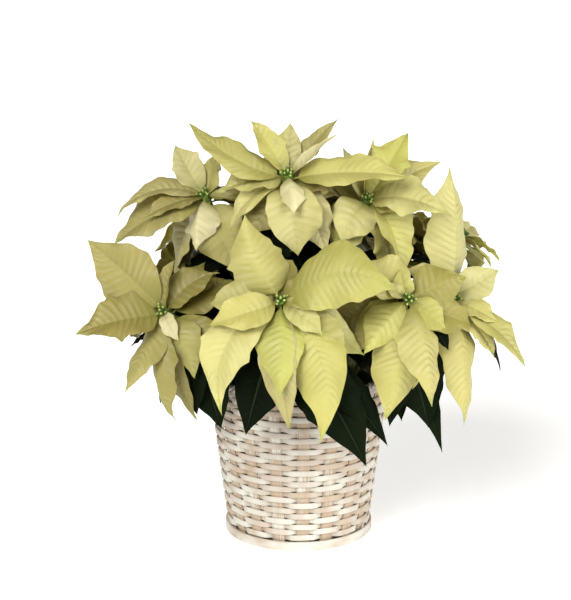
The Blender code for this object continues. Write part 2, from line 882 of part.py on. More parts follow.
def soil_radius(height_in_pot):
    share = height_in_pot / (POT_HEIGHT - 2 * POT_LIP)
    gap = POT_WALL + CLEARANCE + 0.3 * MM
    return POT_FLOOR_RADIUS + share * (POT_MOUTH_RADIUS - POT_FLOOR_RADIUS) - gap


def soil_with_holes(collection, cutters, pot_floor, paths):
    """The root ball, with a plain hole for each stem."""
    low = POT_WALL + CLEARANCE
    profile = [
        (0, pot_floor + low + SOIL_DEPTH + SOIL_CROWN),
        (0.6 * soil_radius(SOIL_DEPTH), pot_floor + low + SOIL_DEPTH + 0.7 * SOIL_CROWN),
        (soil_radius(SOIL_DEPTH), pot_floor + low + SOIL_DEPTH),
        (soil_radius(low), pot_floor + low),
        (0, pot_floor + low),
    ]
    soil = turned("potting_soil", profile, collection, "potting_soil", POT_SIDES)
    for index, path in enumerate(paths):
        bm = bmesh.new()
        made = bmesh.ops.create_cone(
            bm, cap_ends=True, segments=8, radius1=HOLE_RADIUS, radius2=HOLE_RADIUS, depth=2 * STEM_DEPTH
        )
        way = (bezier(path, 1 / STEM_PIECES)[0] - path[0]).normalized()
        turned_along(bm, made["verts"], path[0] + (STEM_DEPTH - 3 * CLEARANCE) * way, way)
        mesh = bpy.data.meshes.new(f"stem_hole_{index}")
        bm.to_mesh(mesh)
        bm.free()
        cutter = bpy.data.objects.new(mesh.name, mesh)
        cutter.hide_render = True
        cutter.display_type = "WIRE"
        cutters.objects.link(cutter)
    cut = soil.modifiers.new("stem_holes", "BOOLEAN")
    cut.operation = "DIFFERENCE"
    cut.operand_type = "COLLECTION"
    cut.collection = cutters
    cut.solver = "EXACT"


def corners_and_faces(mesh):
    return [v.co.copy() for v in mesh.vertices], [tuple(p.vertices) for p in mesh.polygons]


def blade_meshes(blades):
    return [mesh_from("blade", *blade_mesh(blade)) for blade in blades]


def all_blooms():
    """Each bloom's middle, the way it faces, and its table or the length of its longest bract."""
    rows = {name: (bloom.centre, bloom.facing, bloom) for name, bloom in BLOOMS.items()} | REAR_BLOOMS
    return {
        name: (Vector(centre) * MM, Vector(facing).normalized(), bloom)
        for name, (centre, facing, bloom) in rows.items()
    }


def basket_and_pot(collection, crowd):
    """Everything below the plant; returns the pot floor's height."""
    wall_top = basket_weave(collection)
    basket_hoop(collection)
    basket_board(collection)
    basket_rim(collection, wall_top)
    pot_floor = grower_pot(collection)
    bpy.context.view_layer.update()
    for name in ("basket_weave", "basket_rim"):
        obj = bpy.data.objects[name]
        made = bpy.data.meshes.new_from_object(obj.evaluated_get(bpy.context.evaluated_depsgraph_get()))
        crowd.add(name, *corners_and_faces(made))
        bpy.data.meshes.remove(made)
    return pot_floor


def main():
    clear_scene()
    plant = new_collection("poinsettia_in_basket")
    cutters = new_collection("cutters")
    crowd = Crowd()
    rng = random.Random(SEED)
    pot_floor = basket_and_pot(plant, crowd)
    soil_top = pot_floor + POT_WALL + SOIL_DEPTH

    blooms = all_blooms()
    paths, stems, cores, cyathia = {}, {}, {}, {}
    for name, (centre, facing, _) in blooms.items():
        paths[name] = stem_path(centre, facing, soil_top)
        stems[name] = stem_tube("leafy_stem_" + name, paths[name], plant)
        cores[name] = core_mesh(centre, facing)
        cyathia[name] = cyathia_meshes(centre, facing, rng)
        crowd.add("leafy_stem_" + name, *corners_and_faces(stems[name]))
        crowd.add("bracts_" + name, *corners_and_faces(cores[name]))
        for mesh in (cyathia[name][0], *cyathia[name][1]):
            crowd.add("cyathia_" + name, *corners_and_faces(mesh))
    soil_with_holes(plant, cutters, pot_floor, paths.values())

    for name, (centre, facing, bloom) in blooms.items():
        bracts = settled(crowd, "bracts_" + name, bract_blades(centre, facing, bloom, rng))
        fused("bracts_" + name, cores[name], blade_meshes(bracts), plant, "cream_bract")
        fused("cyathia_" + name, *cyathia[name], plant, "cyathia")
    for name, (centre, facing, bloom) in blooms.items():
        node = "leafy_stem_" + name
        leaves = settled(crowd, node, leaf_blades(paths[name], bloom, centre, facing, rng))
        fused(node, stems[name], blade_meshes(leaves), plant, "green_leaf")


main()
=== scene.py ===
import itertools
import math
import random
from dataclasses import dataclass, replace

import bmesh
import bpy
import numpy as np
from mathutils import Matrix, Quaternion, Vector
from mathutils.bvhtree import BVHTree


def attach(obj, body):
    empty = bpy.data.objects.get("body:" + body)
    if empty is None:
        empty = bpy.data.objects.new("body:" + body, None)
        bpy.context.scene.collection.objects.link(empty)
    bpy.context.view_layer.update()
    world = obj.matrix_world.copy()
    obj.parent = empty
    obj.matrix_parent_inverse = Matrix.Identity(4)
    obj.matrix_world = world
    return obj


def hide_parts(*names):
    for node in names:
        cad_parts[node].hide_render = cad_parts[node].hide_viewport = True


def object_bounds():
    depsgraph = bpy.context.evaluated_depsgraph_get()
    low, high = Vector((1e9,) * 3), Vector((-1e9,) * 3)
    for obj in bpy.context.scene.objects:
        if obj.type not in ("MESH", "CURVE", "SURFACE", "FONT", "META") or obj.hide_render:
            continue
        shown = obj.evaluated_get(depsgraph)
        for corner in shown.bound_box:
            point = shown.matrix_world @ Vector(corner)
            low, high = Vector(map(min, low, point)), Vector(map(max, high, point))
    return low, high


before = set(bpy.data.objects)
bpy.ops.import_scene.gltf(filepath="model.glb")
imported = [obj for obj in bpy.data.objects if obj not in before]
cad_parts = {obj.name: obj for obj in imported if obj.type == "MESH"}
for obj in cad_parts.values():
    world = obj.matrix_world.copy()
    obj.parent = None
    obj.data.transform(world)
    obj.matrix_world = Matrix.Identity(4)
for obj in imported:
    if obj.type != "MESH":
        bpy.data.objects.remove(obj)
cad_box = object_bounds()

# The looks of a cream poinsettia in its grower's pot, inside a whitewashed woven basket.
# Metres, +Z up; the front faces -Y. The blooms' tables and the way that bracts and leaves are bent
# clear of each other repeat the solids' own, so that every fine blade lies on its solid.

MM = 0.001
CLEARANCE = 0.3 * MM
ASSEMBLY_GAP = 0.3 * MM
SEED = 27

# Basket
STAKES = 18
ROW_PITCH = 5.97 * MM
ROWS = 26
BASE_RADIUS = 69.2 * MM
WALL_FLARE = 0.132
WALL_THICKNESS = 4.0 * MM
WALL_FOOT = 0.6 * MM
PLAIN_FOOT_HEIGHT = 10.5 * MM
BOARD_THICKNESS = 6.0 * MM
HOOP_HEIGHT = 9.5 * MM
HOOP_THICKNESS = 2.6 * MM

# Grower's pot and soil
POT_FLOOR_RADIUS = 56 * MM
POT_MOUTH_RADIUS = 75 * MM
POT_HEIGHT = 146 * MM
POT_WALL = 1.6 * MM
POT_LIP = 3.0 * MM
SOIL_DEPTH = 128 * MM
SOIL_CROWN = 4 * MM

# Stems
STEM_RADIUS = 3.6 * MM
STEM_DEPTH = 20 * MM
STEM_RING = 46 * MM
STEM_SPREAD = 0.42
STEM_UPRIGHT = 0.55
STEM_CURL = 0.38
STEM_PIECES = 7

# Bracts and leaves
BLADE_THICKNESS = 0.8 * MM
STALK_WIDTH = 2.8 * MM
CORE_RADIUS = 5.0 * MM
CORE_LENGTH = 13 * MM
BRACT_FOOT = 1.5 * MM
CYATHIUM_RADIUS = 2.3 * MM
CYATHIUM_LENGTH = 7.5 * MM
OUTER_CYATHIA = 4

# The way the plant is seen from the front
VIEW_ELEVATION = math.radians(18.5)
RIGHT = Vector((1, 0, 0))
UP = Vector((0, math.sin(VIEW_ELEVATION), math.cos(VIEW_ELEVATION)))
TOWARD = Vector((0, -math.cos(VIEW_ELEVATION), math.sin(VIEW_ELEVATION)))


@dataclass(frozen=True)
class Blade:
    """A bract or leaf. Angles are in degrees, bend is a share of the length; the rest is in metres."""

    root: Vector
    tip: Vector
    facing: Vector
    width: float
    rise: float = 14
    droop: float = 24
    roll: float = 0
    fold: float = 8
    lobe: float = 0.0
    stalk: float = 0.0
    bend: float = 0.0


@dataclass(frozen=True)
class Bract:
    """A bract's tip, measured from the middle of its bloom, in millimetres; angles in degrees."""

    right: float
    up: float
    toward: float
    width: float
    rise: float = 14
    droop: float = 24
    roll: float = 0
    fold: float = 8
    lobe: float = 0.0
    bend: float = 0.0


@dataclass(frozen=True)
class Bloom:
    """Where a bloom's middle is, in millimetres, and which way it faces."""

    centre: tuple
    facing: tuple
    bracts: tuple
    leaves: tuple = ()
    spread_leaves: int = 1


LEAVES_UNDER_TOP = 3

BLOOMS = {
    "front": Bloom(
        (-18, -128, 284),
        (0.0, -0.76, 0.65),
        (
            Bract(50, -7, 14, 14, fold=30),
            Bract(-35, 83, -12, 62, fold=-16, rise=8, droop=8, lobe=0.12, bend=-0.05),
            Bract(112, 6, 20, 68, rise=28, droop=36, fold=-5, bend=-0.2),
            Bract(41, -29, 20, 26, rise=30, droop=40),
            Bract(-70, -25, 12, 36, rise=18, droop=26),
            Bract(38, -134, 22, 62, rise=38, droop=24, fold=-14, bend=-0.24),
            Bract(75, -72, 4, 56, rise=34, droop=52),
            Bract(-1, -98, 14, 48, rise=38, droop=24, fold=-12),
            Bract(-57, -112, 2, 46, rise=44, droop=34, lobe=0.1, bend=0.3),
            Bract(82, -40, -6, 42),
            Bract(-70, 2, -10, 46),
            Bract(9, -126, -10, 36, rise=30),
        ),
        ((-34, -128, -6, 52), (84, -145, -2, 62), (20, -100, -20, 50), (105, -125, -14, 40)),
    ),
    "left": Bloom(
        (-134, -72, 253),
        (-0.58, -0.62, 0.53),
        (
            Bract(7, -24, 24, 18, rise=50),
            Bract(-75, 71, -12, 56, fold=4),
            Bract(9, 56, 4, 20, fold=30),
            Bract(-81, -25, 0, 50, lobe=0.2),
            Bract(56, 38, -4, 38, bend=-0.15),
            Bract(16, -58, 16, 42, rise=46, droop=36, fold=-12, bend=-0.2),
            Bract(-37, -79, 10, 38, fold=-10),
            Bract(8, -104, 6, 34, fold=-14),
            Bract(24, -103, -20, 26, rise=8),
            Bract(32, 54, -26, 42),
            Bract(-18, 4, -62, 44),
        ),
        ((24, -104, -10, 46), (-26, -84, -12, 20), (48, -104, -16, 44)),
    ),
    "upper_left": Bloom(
        (-93, -18, 357),
        (-0.36, -0.38, 0.85),
        (
            Bract(40, -8, 8, 14, fold=24),
            Bract(-30, 50, -36, 28, lobe=0.2),
            Bract(-8, -56, 18, 44, rise=36, droop=20, fold=-20),
            Bract(-60, -24, 12, 28, rise=26),
            Bract(-86, -21, -5, 26, rise=32, droop=34, bend=0.1),
            Bract(14, 40, -16, 26),
            Bract(46, 6, -12, 24),
            Bract(-90, -49, -14, 62, rise=26, droop=20),
            Bract(32, -76, -4, 50, rise=30),
            Bract(-34, -72, -26, 44, rise=30),
            Bract(-34, 8, -66, 46),
            Bract(30, 8, -68, 46),
        ),
        spread_leaves=LEAVES_UNDER_TOP,
    ),
    "top": Bloom(
        (-11, -38, 384),
        (0.0, -0.40, 0.92),
        (
            Bract(6, -40, 24, 28, rise=46, droop=36, fold=-18, lobe=0.2),
            Bract(-37, 54, -12, 31, fold=14),
            Bract(3, 51, -20, 29),
            Bract(51, 62, -16, 21),
            Bract(48, 33, -4, 14, fold=24),
            Bract(-98, 51, -14, 38, fold=4, bend=-0.2),
            Bract(-71, -18, 2, 38, rise=22),
            Bract(122, -4, -2, 46, rise=22, droop=24),
            Bract(-56, -56, 6, 26, rise=36, droop=44, bend=0.1),
            Bract(10, -80, 4, 56, rise=34, droop=24),
            Bract(38, -72, -8, 42, rise=34),
            Bract(26, 8, -76, 46),
            Bract(-46, 4, -62, 46),
        ),
        spread_leaves=LEAVES_UNDER_TOP,
    ),
    "upper_right": Bloom(
        (68, -22, 353),
        (0.30, -0.42, 0.86),
        (
            Bract(36, 6, 12, 28, rise=16, droop=40),
            Bract(38, -68, 26, 54, rise=50, droop=26, fold=14, bend=-0.08),
            Bract(-26, -42, 16, 46, rise=44, droop=34, bend=0.12),
            Bract(28, -76, -8, 46, rise=42, droop=24, lobe=0.2),
            Bract(77, -14, 14, 54, rise=36, fold=10, bend=-0.1),
            Bract(78, 16, -26, 34),
            Bract(36, 56, -40, 36, lobe=0.3),
            Bract(76, 44, -48, 32, lobe=0.2),
            Bract(6, 62, -24, 16, fold=24),
            Bract(-22, 58, -26, 18),
            Bract(-36, -50, -4, 46, rise=30),
            Bract(8, 6, -78, 46),
            Bract(56, -4, -58, 44),
        ),
        spread_leaves=LEAVES_UNDER_TOP,
    ),
    "right": Bloom(
        (107, -96, 275),
        (0.15, -0.84, 0.52),
        (
            Bract(-22, 16, 6, 14),
            Bract(-44, -55, 14, 44, rise=42, droop=38, fold=-16),
            Bract(23, -106, 12, 48, rise=34, fold=-14),
            Bract(38, -34, -14, 28, lobe=0.2),
            Bract(-23, -120, -4, 56, rise=32, fold=-10),
            Bract(-8, 28, -12, 20),
            Bract(-44, 34, -24, 46),
        ),
        ((-18, -126, -12, 44), (22, -121, -16, 60), (38, -137, -8, 24), (-5, -118, -30, 40)),
    ),
    "far_right": Bloom(
        (152, -50, 262),
        (0.62, -0.55, 0.56),
        (
            Bract(3, -35, 20, 15, rise=12),
            Bract(-51, 25, 12, 42, fold=-8),
            Bract(46, 26, -22, 33),
            Bract(-8, 125, -12, 62, rise=6, droop=6, fold=-14, bend=0.06),
            Bract(52, -25, 2, 24),
            Bract(11, -128, 10, 46, rise=24, fold=-10, bend=0.06),
            Bract(42, -62, -10, 30, lobe=0.25),
            Bract(77, -67, -8, 26, lobe=0.2),
            Bract(65, -28, -18, 28),
            Bract(-43, 30, -14, 30),
            Bract(22, 0, -58, 44),
        ),
        ((6, -104, -18, 26),),
        spread_leaves=2,
    ),
    "right_rear": Bloom(
        (164, 50, 295),
        (0.62, 0.30, 0.72),
        (
            Bract(38, -28, 0, 24),
            Bract(29, -34, 10, 20),
            Bract(16, 14, -30, 26),
            Bract(2, -10, -70, 46),
            Bract(-42, 6, -52, 42),
            Bract(30, -24, -56, 36),
            Bract(12, -60, -24, 42),
        ),
        spread_leaves=3,
    ),
}

# Blooms that the front hides are laid out evenly: middle, facing, length of the longest bract
REAR_BLOOMS = {
    "left_rear": ((-124, 56, 262), (-0.72, 0.42, 0.55), 80),
    "back_left": ((-84, 112, 288), (-0.38, 0.68, 0.62), 84),
    "back": ((12, 134, 282), (0.02, 0.78, 0.62), 88),
    "back_right": ((98, 112, 288), (0.38, 0.68, 0.62), 84),
    "crown_rear": ((-6, 58, 346), (-0.04, 0.40, 0.92), 88),
}
REAR_BRACTS = 8
REAR_LEAVES = 3
REAR_BRACT_WIDTHS = (0.55, 0.68)
GOLDEN_ANGLE = math.radians(137.5)

# Leaves: where they leave the stem as shares of its path, and how they hang
FIRST_SHOWN_LEAF = 0.86
SHOWN_LEAF_STEP = 0.07
FIRST_SPREAD_LEAF = 0.90
SPREAD_LEAF_STEP = 0.08
LEAF_LENGTHS = (76, 92)
LEAF_WIDTH = 0.52
LEAF_OUT = 0.86
LEAF_FALL = 0.42
LEAF_LOBE = 0.1

# Smaller bracts and leaves between the others, which the solids leave out; lengths in millimetres
FILLER_BRACTS = 14
FILLER_BRACT_LENGTHS = (42, 78)
FILLER_BRACT_WIDTHS = (0.56, 0.7)
FILLER_BRACT_FOLDS = (-10, 8)
FILLER_BRACT_HANG = (0.15, 0.5)
FILLER_BRACT_FALL = 0.25
FILLER_LEAVES = 11
FILLER_LEAF_LENGTHS = (60, 96)
FILLER_LEAF_WIDTH = 0.56
FILLER_LEAF_FALL = (0.0, 0.35)
FIRST_FILLER_LEAF = 0.92
FILLER_LEAF_STEP = 0.05
FILLER_WAYS = 60
FILLER_ROOM = 1.12
FILLER_INSET = 3 * MM
LOWEST_FILLER_TIP = 196 * MM
WITHOUT_FILLERS = ("right_rear",)

# How far a blade may be bent to pass its neighbours, in order of trial
TIP_SHIFTS = (0, 8, -8, 16, -16, 26, -26, 38, -38)
BOW_SHIFTS = (0, 12, -12, 24)
ROLL_SHIFTS = (0, 14, -14)
SHARES_OF_LENGTH = (1.0, 0.85, 0.7)


def wall_radius(height):
    return BASE_RADIUS + WALL_FLARE * height


def soil_radius(height_in_pot):
    share = height_in_pot / (POT_HEIGHT - 2 * POT_LIP)
    gap = POT_WALL + CLEARANCE + ASSEMBLY_GAP
    return POT_FLOOR_RADIUS + share * (POT_MOUTH_RADIUS - POT_FLOOR_RADIUS) - gap


# Blades: each is a midrib that arches from root to tip, with a pointed outline about it

SMALL_STATIONS = (0.30, 0.64)
LARGE_STATIONS = (0.24, 0.50, 0.77)
LARGE_WIDTH = 42 * MM
BRACT_STALK = 0.08
LEAF_STALK = 0.18
OUTLINE_SWELL = 0.65
OUTLINE_POINT = 1.05
WAVES = (2.0, -1.6, 1.4)


def stations(blade):
    """Where the blade is cut across: shares of the midrib and of the leafy part, and the edges' wave."""
    inner = LARGE_STATIONS if blade.width > LARGE_WIDTH else SMALL_STATIONS
    leafy = [(blade.stalk + (1 - blade.stalk) * s, s, wave) for s, wave in zip(inner, WAVES)]
    return [(0, 0, 0), (blade.stalk, 0, 0), *leafy]


def outline(share):
    """Half the blade's width at a share of its length, as a share of its widest half."""
    widest = OUTLINE_SWELL / (OUTLINE_SWELL + OUTLINE_POINT)
    peak = widest**OUTLINE_SWELL * (1 - widest) ** OUTLINE_POINT
    return share**OUTLINE_SWELL * (1 - share) ** OUTLINE_POINT / peak


def midrib(blade):
    """The four control points of the midrib, and the way across the blade."""
    chord = blade.tip - blade.root
    along = chord.normalized()
    lift = blade.facing - blade.facing.dot(along) * along
    lift = Quaternion(along, math.radians(blade.roll)) @ lift.normalized()
    reach = chord.length / 3
    rise, droop = math.radians(blade.rise), math.radians(blade.droop)
    near = blade.root + reach * (math.cos(rise) * along + math.sin(rise) * lift)
    far = blade.tip - reach * (math.cos(droop) * along - math.sin(droop) * lift)
    across = along.cross(lift)
    sideways = blade.bend * chord.length * across
    return (blade.root, near + sideways, far + sideways, blade.tip), across


def bezier(points, t):
    """The point and the unit tangent at t."""
    a, b, c, d = points
    s = 1 - t
    place = s**3 * a + 3 * s * s * t * b + 3 * s * t * t * c + t**3 * d
    heading = s * s * (b - a) + 2 * s * t * (c - b) + t * t * (d - c)
    return place, heading.normalized()


def blade_sections(blade, grow=0.0):
    """The six points round the blade at each station, then the two at its tip."""
    points, across = midrib(blade)
    half_thick = BLADE_THICKNESS / 2 + grow
    fold = math.radians(blade.fold)
    ripple = min(1, blade.width / LARGE_WIDTH) * MM
    rings = []
    for share, leafy_share, wave in stations(blade):
        place, heading = bezier(points, share)
        normal = across.cross(heading)
        half = max(blade.width / 2 * outline(leafy_share), STALK_WIDTH / 2) + grow
        if wave < 0:
            half *= 1 + blade.lobe
        sideways, upward = half * math.cos(fold), half * math.sin(fold)
        edges = [
            place + side * sideways * across + (upward + side * wave * ripple) * normal
            for side in (-1, 1)
        ]
        spine = (edges[0], place, edges[1])
        rings.append([p + half_thick * normal for p in spine] + [p - half_thick * normal for p in spine])
    place, heading = bezier(points, 1)
    normal = across.cross(heading)
    return rings, [place + half_thick * normal, place - half_thick * normal]


def strip(lower, upper, flip):
    """Two triangles between two edges; flip turns them over."""
    (a, b), (c, d) = lower, upper
    faces = [(a, b, d), (a, d, c)]
    return [tuple(reversed(f)) for f in faces] if flip else faces


def blade_mesh(blade, grow=0.0, first=0):
    """A closed blade's points and triangles, from the given station on."""
    rings, tip = blade_sections(blade, grow)
    rings = rings[first:]
    points = [p for ring in rings for p in ring] + tip
    faces = []
    for i in range(len(rings) - 1):
        lo, hi = 6 * i, 6 * (i + 1)
        for k in (0, 1):
            faces += strip((lo + k, lo + k + 1), (hi + k, hi + k + 1), False)
            faces += strip((lo + 3 + k, lo + 4 + k), (hi + 3 + k, hi + 4 + k), True)
        faces += strip((lo + 3, lo), (hi + 3, hi), False)
        faces += strip((lo + 2, lo + 5), (hi + 2, hi + 5), False)
    last, top, bottom = 6 * (len(rings) - 1), len(points) - 2, len(points) - 1
    for k in (0, 1):
        faces.append((last + k, last + k + 1, top))
        faces.append((last + 4 + k, last + 3 + k, bottom))
    faces += strip((last + 3, last), (bottom, top), False)
    faces += strip((last + 2, last + 5), (top, bottom), False)
    faces += [(0, 3, 4), (0, 4, 1), (1, 4, 5), (1, 5, 2)]
    return points, faces


# Keeping blades out of each other


def box_of(points):
    return [(min(p[i] for p in points), max(p[i] for p in points)) for i in range(3)]


def boxes_meet(a, b):
    return all(lo < other_hi and other_lo < hi for (lo, hi), (other_lo, other_hi) in zip(a, b))


class Crowd:
    """Everything placed so far, for finding a way between."""

    def __init__(self):
        self.placed = []

    def add(self, node, points, faces, outer_part=False):
        tree = BVHTree.FromPolygons([tuple(p) for p in points], faces)
        self.placed.append((node, outer_part, box_of(points), tree))

    def add_blade(self, node, blade):
        self.add(node, *blade_mesh(blade))
        self.add(node, *blade_mesh(blade, first=1), outer_part=True)

    def meets(self, points, faces, wanted):
        """Whether a mesh meets any placed thing that is wanted."""
        box, tree = box_of(points), None
        for node, outer_part, other_box, other_tree in self.placed:
            if wanted(node, outer_part) and boxes_meet(box, other_box):
                tree = tree or BVHTree.FromPolygons([tuple(p) for p in points], faces)
                if other_tree.overlap(tree):
                    return True
        return False

    def blocks(self, node, blade, own_too):
        """Whether a blade meets another node, or the outer parts of its own node's blades."""
        whole = blade_mesh(blade, grow=CLEARANCE)
        if self.meets(*whole, lambda other, outer_part: other != node and not outer_part):
            return True
        outer = blade_mesh(blade, grow=CLEARANCE, first=1)
        return own_too and self.meets(*outer, lambda other, outer_part: other == node and outer_part)


def effort(way):
    """How far a way of bending a blade takes it from its first form."""
    tip, bow, roll, share = way
    return abs(tip) + abs(bow) + 1.2 * abs(roll) + 160 * (1 - share)


# Tip shift, bow, roll and share of the length, the smallest bends first
BENDS = sorted(itertools.product(TIP_SHIFTS, BOW_SHIFTS, ROLL_SHIFTS, SHARES_OF_LENGTH), key=effort)


def bent(blade, way):
    tip_shift, bow, roll, share = way
    tip = blade.root + share * (blade.tip - blade.root) + tip_shift * MM * blade.facing
    return replace(blade, tip=tip, rise=blade.rise + bow, droop=blade.droop + bow, roll=blade.roll + roll)


def settle(crowd, node, blade):
    """The blade bent clear of its neighbours, or None where there is no room for it."""
    for own_too in (True, False):
        for way in BENDS:
            trial = bent(blade, way)
            if not crowd.blocks(node, trial, own_too):
                crowd.add_blade(node, trial)
                return trial
    return None


def settled(crowd, node, blades):
    """The blades that find room, each bent clear."""
    found = [settle(crowd, node, blade) for blade in blades]
    return [blade for blade in found if blade]


# Stems and blooms


def seen(right, up, toward):
    """An offset in the front view, in millimetres, as a vector in metres."""
    return (right * RIGHT + up * UP + toward * TOWARD) * MM


def rear_bracts(facing, longest, rng):
    """Bracts laid out by the golden angle about the way the bloom faces."""
    side = facing.cross(Vector((0, 0, 1))).normalized()
    level = side.cross(facing)
    tips = []
    for index in range(REAR_BRACTS):
        turn = index * GOLDEN_ANGLE
        length = longest * (0.55 + 0.45 * index / (REAR_BRACTS - 1)) * MM
        out = math.cos(turn) * side + math.sin(turn) * level
        if out.z > 0.3:
            length *= 0.8
        drop = Vector((0, 0, -0.22 * length)) if index > 2 else 0.25 * length * facing
        width = length * rng.uniform(*REAR_BRACT_WIDTHS)
        tips.append((length * out + drop, width))
    return tips


def bract_blades(centre, facing, bloom, rng):
    """The bracts of one bloom before they are bent clear, from the middle outwards."""
    if isinstance(bloom, Bloom):
        shapes = [
            (seen(b.right, b.up, b.toward), b.width * MM, b.rise, b.droop, b.roll, b.fold, b.lobe, b.bend)
            for b in bloom.bracts
        ]
    else:
        shapes = [(tip, width, 22, 26, 0, 6, 0, 0) for tip, width in rear_bracts(facing, bloom, rng)]
    blades = []
    spacing = (CORE_LENGTH - 4 * MM) / len(shapes)
    for index, (offset, width, rise, droop, roll, fold, lobe, bend) in enumerate(shapes):
        out = (offset - offset.dot(facing) * facing).normalized()
        root = centre - (2 * MM + index * spacing) * facing + BRACT_FOOT * out
        tip = centre + offset
        blades.append(Blade(root, tip, facing, width, rise, droop, roll, fold, lobe, BRACT_STALK, bend))
    return blades


def stem_path(centre, facing, soil_top):
    """Control points of a stem from its place in the soil to its bloom."""
    level = Vector((centre.x, centre.y, 0))
    foot = level.normalized() * min(STEM_RING, STEM_SPREAD * level.length)
    foot.z = soil_top - STEM_DEPTH
    top = centre - (CORE_LENGTH + CLEARANCE) * facing
    upright = foot + Vector((0, 0, STEM_UPRIGHT * (top.z - foot.z)))
    return foot, upright, top - STEM_CURL * (top - foot).length * facing, top


def shown_leaves(path, centre, facing, leaves):
    """The leaves that show at the front, each given by its tip and width in the front view."""
    blades = []
    look = (facing + Vector((0, -0.4, 0.6))).normalized()
    for index, (right, up, toward, width) in enumerate(leaves):
        root, _ = bezier(path, FIRST_SHOWN_LEAF - SHOWN_LEAF_STEP * index)
        tip = centre + seen(right, up, toward)
        blades.append(Blade(root, tip, look, width * MM, 26, 30, 0, 8, LEAF_LOBE, LEAF_STALK))
    return blades


def spread_leaves(path, centre, count, rng):
    """Leaves laid out by the golden angle round the stem."""
    blades = []
    outward = Vector((centre.x, centre.y, 0)).normalized()
    for index in range(count):
        root, _ = bezier(path, FIRST_SPREAD_LEAF - SPREAD_LEAF_STEP * index)
        turn = index * GOLDEN_ANGLE + rng.uniform(-0.3, 0.3)
        way = Quaternion((0, 0, 1), turn) @ outward
        length = rng.uniform(*LEAF_LENGTHS) * MM
        tip = root + length * (LEAF_OUT * way - Vector((0, 0, LEAF_FALL)))
        look = (way * 0.35 + Vector((0, 0, 1))).normalized()
        blades.append(Blade(root, tip, look, length * LEAF_WIDTH, 24, 26, 0, 6, LEAF_LOBE, LEAF_STALK))
    return blades


def leaf_blades(path, bloom, centre, facing, rng):
    """A stem's leaves: those that show at the front, then an even few round it."""
    if isinstance(bloom, Bloom):
        shown = shown_leaves(path, centre, facing, bloom.leaves)
        return shown + spread_leaves(path, centre, bloom.spread_leaves, rng)
    return spread_leaves(path, centre, REAR_LEAVES, rng)


def stem_tube(path):
    """A round stem along its path, as a mesh."""
    curve = bpy.data.curves.new("stem_path", "CURVE")
    curve.dimensions = "3D"
    curve.bevel_depth = STEM_RADIUS
    curve.bevel_resolution = 1
    curve.resolution_u = STEM_PIECES
    curve.use_fill_caps = True
    spline = curve.splines.new("BEZIER")
    spline.bezier_points.add(1)
    first, last = spline.bezier_points
    foot, near, far, top = path
    first.co, first.handle_left, first.handle_right = foot, 2 * foot - near, near
    last.co, last.handle_left, last.handle_right = top, far, 2 * top - far
    obj = bpy.data.objects.new("stem_path", curve)
    bpy.context.scene.collection.objects.link(obj)
    bpy.context.view_layer.update()
    mesh = bpy.data.meshes.new_from_object(obj.evaluated_get(bpy.context.evaluated_depsgraph_get()))
    bpy.data.objects.remove(obj)
    bm = bmesh.new()
    bm.from_mesh(mesh)
    bmesh.ops.remove_doubles(bm, verts=bm.verts, dist=0.01 * MM)
    bmesh.ops.recalc_face_normals(bm, faces=bm.faces)
    bm.to_mesh(mesh)
    bm.free()
    return mesh


def turned_along(verts, centre, direction):
    """Turns new verts from +Z to a direction and moves them to their place."""
    turn = Vector((0, 0, 1)).rotation_difference(direction)
    for vert in verts:
        vert.co = centre + turn @ vert.co


def core_mesh(centre, facing):
    """The short green-cream column that the bracts grow from."""
    bm = bmesh.new()
    made = bmesh.ops.create_cone(
        bm,
        cap_ends=True,
        segments=6,
        radius1=0.8 * CORE_RADIUS,
        radius2=CORE_RADIUS,
        depth=CORE_LENGTH,
    )
    turned_along(made["verts"], centre - 0.5 * CORE_LENGTH * facing, facing)
    mesh = bpy.data.meshes.new("core")
    bm.to_mesh(mesh)
    bm.free()
    return mesh


def bud_mesh(place, direction, scale):
    """One egg-shaped cyathium with a blunt top."""
    bm = bmesh.new()
    made = bmesh.ops.create_uvsphere(bm, u_segments=4, v_segments=2, radius=1)
    for vert in made["verts"]:
        vert.co.x *= CYATHIUM_RADIUS * scale
        vert.co.y *= CYATHIUM_RADIUS * scale
        vert.co.z *= CYATHIUM_LENGTH / 2 * scale
    turned_along(made["verts"], place, direction)
    mesh = bpy.data.meshes.new("bud")
    bm.to_mesh(mesh)
    bm.free()
    return mesh


def cyathia_meshes(centre, facing, rng):
    """A small pad and the buds that stand on it."""
    bm = bmesh.new()
    made = bmesh.ops.create_cone(
        bm, cap_ends=True, segments=6, radius1=4.2 * MM, radius2=3.4 * MM, depth=2 * MM
    )
    base = centre + (CLEARANCE + 1 * MM) * facing
    turned_along(made["verts"], base, facing)
    pad = bpy.data.meshes.new("pad")
    bm.to_mesh(pad)
    bm.free()
    side = facing.orthogonal().normalized()
    other = facing.cross(side)
    buds = [bud_mesh(base + 3.4 * MM * facing, facing, 1.0)]
    for index in range(OUTER_CYATHIA):
        turn = math.tau * index / OUTER_CYATHIA + rng.uniform(-0.2, 0.2)
        out = math.cos(turn) * side + math.sin(turn) * other
        lean = (facing + 0.75 * out).normalized()
        buds.append(bud_mesh(base + 2.7 * MM * out + 2.4 * MM * lean, lean, rng.uniform(0.8, 1.05)))
    return pad, buds


def corners_and_faces(mesh):
    return [v.co.copy() for v in mesh.vertices], [tuple(p.vertices) for p in mesh.polygons]


def all_blooms():
    """Each bloom's middle, the way it faces, and its table or the length of its longest bract."""
    rows = {name: (bloom.centre, bloom.facing, bloom) for name, bloom in BLOOMS.items()} | REAR_BLOOMS
    return {
        name: (Vector(centre) * MM, Vector(facing).normalized(), bloom)
        for name, (centre, facing, bloom) in rows.items()
    }


# Placing every bract and leaf


